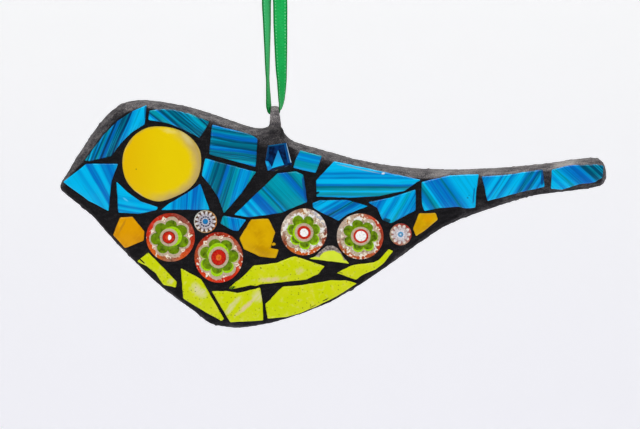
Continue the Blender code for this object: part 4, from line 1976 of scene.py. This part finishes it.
@dataclass
class FlowerSlice(CaneSlice):
    """A slice of flower cane: a core, rings, green petals and a clear, starred rim."""

    radius: Place
    core: Sequence[tuple[float, str]]
    ring: float
    petal: Place
    phase: float
    # The thickness of the painted highlights in the green glass, round the ring and along the
    # petals' edge.
    glow: Ring
    lime: Ring
    rim: Sequence[str]
    cream: float = 0.66
    band: float = 2.6
    petals: int = 7
    outline_width: float = 2.6
    shift: Place = (0, 0)
    glint: Place | None = None
    glint_reach: Place = (2.2, 3.6)
    lip: float = 0.7
    star_gap: float = 1.1
    sides: ClassVar[int] = 210
    steps: ClassVar[Sequence[Place]] = ((0.06, 0.5), (0.5, 1.0), (0.94, 0.5), (1.0, 0.0))
    crown: ClassVar[float] = 0.20 * MM
    steep: ClassVar[int] = 4
    waves: ClassVar[float] = 0.02 * MM
    uneven: ClassVar[float] = 0.03

    def size(self) -> Place:
        """How far the slice reaches across and up, in pixels."""
        return self.radius

    def middle(self, away: float) -> Place:
        """The middle of the layer that lies this share of the way out."""
        (x, down), (right, lower) = self.centre, self.shift
        return x + right * (1 - away), down + lower * (1 - away)

    def wave(self, angle: float) -> float:
        """0 in the notch between two petals and 1 in the middle of a petal."""
        return abs(math.cos(self.petals * (angle - math.radians(self.phase)) / 2))

    def petal_edge(self, angle: float) -> float:
        """How far out the petals reach.

        Args:
            angle: The direction from the middle.

        Returns:
            The reach in pixels.
        """
        lobe, notch = self.petal
        size = 1 + 0.05 * math.sin(2 * angle + self.phase)
        return notch + (lobe * size - notch) * self.wave(angle) ** 0.5

    def outer_edge(self, angle: float) -> float:
        """How far out the petals' pale outline reaches.

        Args:
            angle: The direction from the middle.

        Returns:
            The reach in pixels.
        """
        lobe, notch = self.petal
        soft = notch + 0.6 + (lobe - notch - 0.6) * self.wave(angle) ** 0.6
        return min(soft + self.outline_width, self.radius[0] - self.band)

    def star_edge(self, angle: float) -> float:
        """How far out the star in each notch reaches, past the outline.

        Args:
            angle: The direction from the middle.

        Returns:
            The reach in pixels.
        """
        start = self.outer_edge(angle)
        reach = self.radius[0] - self.star_gap - start
        size = 0.75 + 0.25 * math.sin(3 * angle + math.radians(self.phase))
        return start + 0.05 + max(0.0, reach * size * (1 - 2 * self.wave(angle)))

    def layers(self) -> list[Layer]:
        """The core, the rings, the petals with their outline and painted highlights, the stars and
        the rim.

        Returns:
            The layers, from the inside out.
        """
        return [
            *(Layer(lambda angle, reach=reach: reach, color) for reach, color in self.core),
            Layer(lambda angle: self.ring, BEIGE, -0.02),
            # Painted highlights in the green glass: a bright lime band round the ring, and another
            # along the petals' edge.
            Layer(lambda angle: self.ring + self.glow(angle), GLOW, 0.02),
            Layer(lambda angle: self.petal_edge(angle) - self.lime(angle), LEAF, 0.10),
            Layer(self.petal_edge, GLOW, 0.03),
            Layer(self.outer_edge, BEIGE),
            Layer(self.star_edge, CREAM, 0.02),
            Layer(lambda angle: self.radius[0] - self.lip, RIM, 0.06),
            Layer(lambda angle: self.radius[0], RIM),
        ]

    def glass(self, number: int, color: str) -> Material:
        """The glass of one layer, mottled, with pale and dark threads.

        Args:
            number: The layer, from the inside out.
            color: Its colour.

        Returns:
            The material.
        """
        surface = Surface(f"{self.node}_layer_{number}", 0.16, specular=0.14)
        quick = surface.grain(2.6, 3.0)
        slow = surface.grain(1.3, 2.0)
        grain = slow if color == LEAF else quick
        below: object = color
        if color == RIM:
            below = colors_round(surface, self.centre, self.rim)
        up, down = (0.35, 0.55) if color != LEAF else (0.36, 0.8)
        base = surface.blend(surface.rise(grain, 0.52, 0.72, up),
                             below, GLOW if color == LEAF else toned(color, 0.30))
        base = surface.blend(surface.rise(grain, 0.48, 0.30, down), base, toned(color, -0.45))
        if color == BEIGE and number > len(self.core) and self.cream < 0.62:
            glassy = surface.rise(slow, self.cream - 0.08, self.cream)
            base = surface.blend(glassy, base, "#E4E2DE")
            lines = surface.rise(slow, 1 - self.cream, 0.94 - self.cream)
            base = surface.blend(lines, base, "#8A7460")
        if color == RIM:
            fleck = surface.rise(slow, self.cream - 0.04, self.cream + 0.03)
            base = surface.blend(fleck, base, CREAM)
        if color == CREAM:
            base = surface.blend(surface.rise(quick, 0.5, 0.38), base, "#A8702C")
        if number == 0 and self.glint:
            glint = Blot(self.glint, self.glint_reach, "#F8F8F6", 0, 0.15, 0.3)
            base = glint.over(surface, base)
        surface.color(base)
        surface.bump(quick, 0.08 * MM, 0.5)
        return surface.material


def colors_round(surface: Surface, centre: Place, colors: Sequence[str]) -> Socket:
    """Colours that change round a slice.

    Args:
        surface: The material.
        centre: The slice's middle, in pixels.
        colors: The colours, evenly spaced and counterclockwise from +X.

    Returns:
        The colour in a point's direction from the middle.
    """
    x, _, z = surface.parts(surface.measured(on_bird(centre)))
    turn = surface.calc("FRACT", surface.calc("DIVIDE", surface.calc("ARCTAN2", z, x), 2 * math.pi))
    round_it = [*colors, colors[0]]
    return surface.bands(turn, [(k / len(colors), code) for k, code in enumerate(round_it)])


def toned(code: str, share: float) -> str:
    """A colour moved towards white, or towards black.

    Args:
        code: The colour, as #RRGGBB.
        share: How far, from -1 for black to 1 for white.

    Returns:
        The new colour.
    """
    goal = 255 if share > 0 else 0
    return "#" + "".join(f"{round(v + (goal - v) * abs(share)):02X}"
                         for v in bytes.fromhex(code[1:]))


@dataclass
class DaisySlice(CaneSlice):
    """A small slice of daisy cane: a core, a dotted ring, pale scallops and a glassy rim."""

    radius: float
    core: Sequence[tuple[float, str]]
    ring: float
    ring_color: str
    dot: str
    scallops: int
    scallop: Place
    petal: str
    gap: str
    tip: str
    rim: Sequence[str]
    band: float = 1.5
    lip: float = 0.2
    sides: ClassVar[int] = 156
    steps: ClassVar[Sequence[Place]] = ((0.08, 0.0), (0.92, 0.0), (1.0, 0.0))
    crown: ClassVar[float] = 0.3 * MM
    steep: ClassVar[int] = 6

    def size(self) -> Place:
        """How far the slice reaches across and up, in pixels."""
        return self.radius, self.radius

    def layers(self) -> list[Layer]:
        """The core, the dotted ring, the scallops, the gaps between them and the rim.

        Returns:
            The layers, from the inside out.
        """
        return [
            *(Layer(lambda angle, reach=reach: reach, color) for reach, color in self.core),
            Layer(lambda angle: self.ring, self.ring_color),
            Layer(self.scallop_edge, self.petal),
            Layer(lambda angle: max(self.scallop_edge(angle), self.radius - self.band), self.gap),
            Layer(lambda angle: self.radius - self.lip, RIM),
            Layer(lambda angle: self.radius, RIM),
        ]

    def scallop_edge(self, angle: float) -> float:
        """How far out the scallops reach at an angle, in pixels."""
        reach, depth = self.scallop
        return reach - depth + depth * abs(math.cos(self.scallops * angle / 2))

    def glass(self, number: int, color: str) -> Material:
        """The glass of one layer, with the dots in its ring.

        Args:
            number: The layer, from the inside out.
            color: Its colour.

        Returns:
            The material.
        """
        surface = Surface(f"{self.node}_layer_{number}", 0.2, specular=0.3)
        x, _, z = surface.parts(surface.measured(on_bird(self.centre)))
        angle = surface.calc("ARCTAN2", z, x)
        wave = surface.calc("COSINE", surface.times(angle, float(self.scallops)))
        quick = surface.grain(3.0, 2.0)
        flat: object = color
        if color == RIM:
            flat = colors_round(surface, self.centre, self.rim)
        base = surface.blend(surface.rise(quick, 0.45, 0.65, 0.5), flat, toned(self.gap, -0.1))
        if color == self.ring_color:
            base = surface.blend(surface.rise(wave, -0.55, -0.15), base, self.dot)
        if color == self.petal:
            far = surface.length(x, z)
            reach = self.radius * PIXEL / MM
            outer = surface.rise(far, 0.55 * reach, 0.66 * reach)
            notch = surface.rise(wave, -0.2, -0.7, outer)
            base = surface.blend(surface.times(notch, 0.85), base, self.gap)
            tip = surface.times(surface.rise(wave, 0.1, 0.7), surface.rise(
                far, 0.68 * reach, 0.78 * reach))
            base = surface.blend(surface.times(tip, 0.7), base, self.tip)
        surface.color(base)
        surface.bump(quick, 0.05 * MM, 0.5)
        return surface.material


def around(middle: float, half: float, thick: float, least: float = 0.12) -> Ring:
    """An accent that is thick round one direction and thin elsewhere.

    Args:
        middle: The direction, in degrees up from +X.
        half: How far to each side it fades out, in degrees.
        thick: Its thickness there, in pixels.
        least: Its thickness elsewhere.

    Returns:
        Its thickness at an angle.
    """
    def thickness(angle: float) -> float:
        """The accent's thickness at an angle."""
        gap = abs((math.degrees(angle) - middle + 180) % 360 - 180)
        return least + thick * max(0.0, 1 - (gap / half) ** 2)
    return thickness


def slices() -> list[CaneSlice]:
    """The six slices of cane.

    Returns:
        The four flowers and the two daisies.
    """
    red, dark, white = "#BE2410", "#7E1208", "#F4F2EE"
    ruby = ("#B83218", "#9C4A38", "#84483C", "#A02A14", "#C02A14", "#CC2E14", "#C23012",
            "#D86018", "#C8641C", "#96705A", "#D2581C", "#C03A16")
    flame = ("#B04A2C", "#A8563C", "#B4401E", "#9E2410", "#AC2410", "#A83C20", "#A84A28",
             "#C8260C", "#D84414", "#D42A0A", "#C8200A", "#D24018")
    smoke = ("#7E4A3A", "#B4B4BA", "#BEBCC0", "#B07848", "#B09A86", "#C8BCAE", "#A88A74",
             "#8C4426", "#C86A24", "#D8601C", "#CC5C20", "#A85030")
    ember = ("#A8442C", "#B83A20", "#C04A2C", "#B88468", "#C8B8A4", "#BCA894", "#B4A698",
             "#A85424", "#C0682C", "#B04A24", "#B85A2C", "#B03C20")
    tan = ("#D88A30", "#D09A60", "#B88A50", "#C8C0A0", "#D8DAD0", "#CFD0C4", "#C8C8C0", "#D8D0C0",
           "#BE9864", "#A88458", "#B87838", "#C06418")
    rust = ("#A02820", "#A83428", "#A02418", "#981C12", "#B0503C", "#9A8068", "#A08C70", "#8C9068",
            "#B05838", "#A86048", "#C0A088", "#9C2A24")
    none = around(0, 1, 0, 0.1)
    return [
        FlowerSlice("millefiori_breast", (171, 237), (24.2, 24.2),
                    ((2.9, "#D0481C"), (5.6, red), (6.4, dark)), 9.0, (18.4, 12.4), 83.1,
                    around(20, 95, 3.4, 0.1), none, ruby, 0.68, shift=(-2.3, 0),
                    glint=(170.4, 237.2)),
        FlowerSlice("millefiori_belly", (219, 257), (24.1, 25.2),
                    ((2.8, "#DC6C1C"), (7.0, "#C01C0C"), (7.6, "#8C140A")), 10.2, (19.0, 13.2),
                    108, around(100, 85, 3.4, 0.1), around(262, 100, 2.6, 0.15), flame, 0.66),
        FlowerSlice("millefiori_back", (304, 231.5), (23, 23.3), ((4.1, white), (6.7, red)),
                    9.2, (17.0, 11.6), 66.4, around(190, 90, 2.0, 0.1),
                    around(260, 160, 1.8, 0.1), smoke, 0.6, 2.2, outline_width=3.4,
                    shift=(0.2, 0.9)),
        FlowerSlice("millefiori_rump", (360, 236), (23.2, 22.8), ((5.3, white), (7.3, red)),
                    9.6, (17.2, 11.8), 103.3, none, around(280, 90, 1.8, 0.1), ember, 0.6, 2.2,
                    outline_width=3.4, shift=(1.1, -0.5)),
        DaisySlice("small_millefiori_breast", (205.8, 221.2), 11.4, ((2.8, "#1478B4"),
                   (3.9, "#C4C6CE")), 5.4, "#A09CAC", "#24283C", 13, (10.7, 3.7), "#BEBAC0",
                   "#5A3A24", "#E8E4D8", tan, 1.1),
        DaisySlice("small_millefiori_rump", (400.4, 234.0), 10.9, ((1.0, "#B4D4E8"),
                   (2.7, "#4498C4")), 4.2, "#E4E6EC", "#CCC8D0", 11, (9.9, 2.4), "#CCC6C8",
                   "#9C6A5C", "#E8DEC8", rust, 1.8),
    ]


# The studio.


@dataclass
class Studio:
    """The pale sweep, the soft lights and the camera."""

    view_centre: Vector = field(default_factory=lambda: Vector((9.95, -1.5, -22.84)) * MM)
    view_width: float = 140.5 * MM
    lens: float = 200.0
    sensor: float = 36.0
    elevation: float = 2.0
    floor: float = -0.40
    floor_start: float = -3.0
    wall: float = 1.6
    wall_top: float = 3.2
    half_width: float = 3.5
    bend: float = 0.6
    bend_steps: int = 12
    glow: float = 0.42
    air: float = 0.14
    air_seen: float = 0.90
    lamps: Sequence[tuple[str, tuple[float, float, float], float, float]] = (
        ("overhead", (0.0, -0.12, 0.85), 0.7, 7.6),
        ("front_left", (-0.75, -0.75, 0.25), 0.45, 3.3),
        ("front_right", (0.75, -0.75, 0.25), 0.45, 3.3),
    )

    def build(self) -> None:
        """Set up the studio."""
        self.sweep()
        self.lights()
        self.camera()

    def sweep(self) -> None:
        """A floor that curves up into a wall, all one pale sheet."""
        start = self.wall - self.bend
        profile = [(self.floor_start, self.floor), (start, self.floor)]
        for k in range(1, self.bend_steps + 1):
            turn = math.pi / 2 * k / self.bend_steps
            profile.append((start + self.bend * math.sin(turn),
                            self.floor + self.bend * (1 - math.cos(turn))))
        profile.append((self.wall, self.wall_top))
        mesh = bmesh.new()
        rows = [[mesh.verts.new((x, y, z)) for y, z in profile]
                for x in (-self.half_width, self.half_width)]
        for k in range(len(profile) - 1):
            mesh.faces.new((rows[0][k], rows[1][k], rows[1][k + 1], rows[0][k + 1]))
        sweep = new_thing("studio_sweep", mesh)
        surface = Surface("pale_card", 0.9, specular=0.1)
        shade = surface.cloud(surface.place, 1.5, 1.0)
        surface.color(surface.blend(shade, "#EFEFF2", "#F1F1F4"))
        _, _, height = surface.parts(surface.place)
        light = surface.blend(surface.rise(height, -0.24, 0.10), "#F4F3FC", "#FEFFFA")
        surface.feed(surface.shader["Emission Color"], light)
        surface.shader["Emission Strength"].default_value = self.glow
        sweep.data.materials.append(surface.material)
        shade_smooth(sweep)

    def lights(self) -> None:
        """A large soft light above, two soft lights at the front, and a pale world."""
        world = bpy.data.worlds.new("studio_air")
        world.use_nodes = True
        sky = world.node_tree.nodes["Background"].inputs
        sky["Color"].default_value = (0.97, 0.98, 1.0, 1.0)
        graph = Graph(world.node_tree)
        seen = graph.add("ShaderNodeLightPath").outputs["Is Camera Ray"]
        graph.feed(sky["Strength"], graph.calc(
            "MULTIPLY_ADD", seen, self.air_seen - self.air, self.air))
        bpy.context.scene.world = world
        for lamp in self.lamps:
            self.light(*lamp)

    def light(self, name: str, place: tuple[float, float, float], size: float,
              power: float) -> None:
        """A square soft light that looks at the bird.

        Args:
            name: Its name.
            place: Where it stands.
            size: Its side, in metres.
            power: Its power, in watts.
        """
        data = bpy.data.lights.new(name, "AREA")
        data.size = size
        data.energy = power
        lamp = bpy.data.objects.new(name, data)
        lamp.location = place
        aim = self.view_centre - Vector(place)
        lamp.rotation_euler = aim.to_track_quat("-Z", "Y").to_euler()
        bpy.context.scene.collection.objects.link(lamp)

    def camera(self) -> None:
        """A long lens at the photograph's angle, from just above the middle."""
        data = bpy.data.cameras.new("camera")
        data.lens = self.lens
        data.sensor_width = self.sensor
        data.clip_start = 0.05
        data.clip_end = 20
        eye = bpy.data.objects.new("camera", data)
        distance = self.view_width * self.lens / self.sensor
        tilt = math.radians(self.elevation)
        eye.location = self.view_centre + distance * Vector((0, -math.cos(tilt), math.sin(tilt)))
        aim = self.view_centre - eye.location
        eye.rotation_euler = aim.to_track_quat("-Z", "Y").to_euler()
        bpy.context.scene.collection.objects.link(eye)
        bpy.context.scene.camera = eye
        bpy.context.scene.view_settings.view_transform = "Standard"


def main() -> None:
    """Build the studio and the ornament's pieces."""
    logging.basicConfig(level=logging.INFO, format="%(message)s")
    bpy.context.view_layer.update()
    Studio().build()
    Ribbon().build()
    HangingLoop().build()
    GroutBody().build()
    tiles = cut_tiles()
    for tile in tiles:
        tile.build()
    log.info("cut tiles: %d", len(tiles))
    EyeDisc().build()
    FacetedTile().build()
    CutTile("lime_tile_half_moon", CrescentGlass()).build()
    AmberCrumb().build()
    for piece in slices():
        piece.build()


if __name__ == "__main__":
    main()
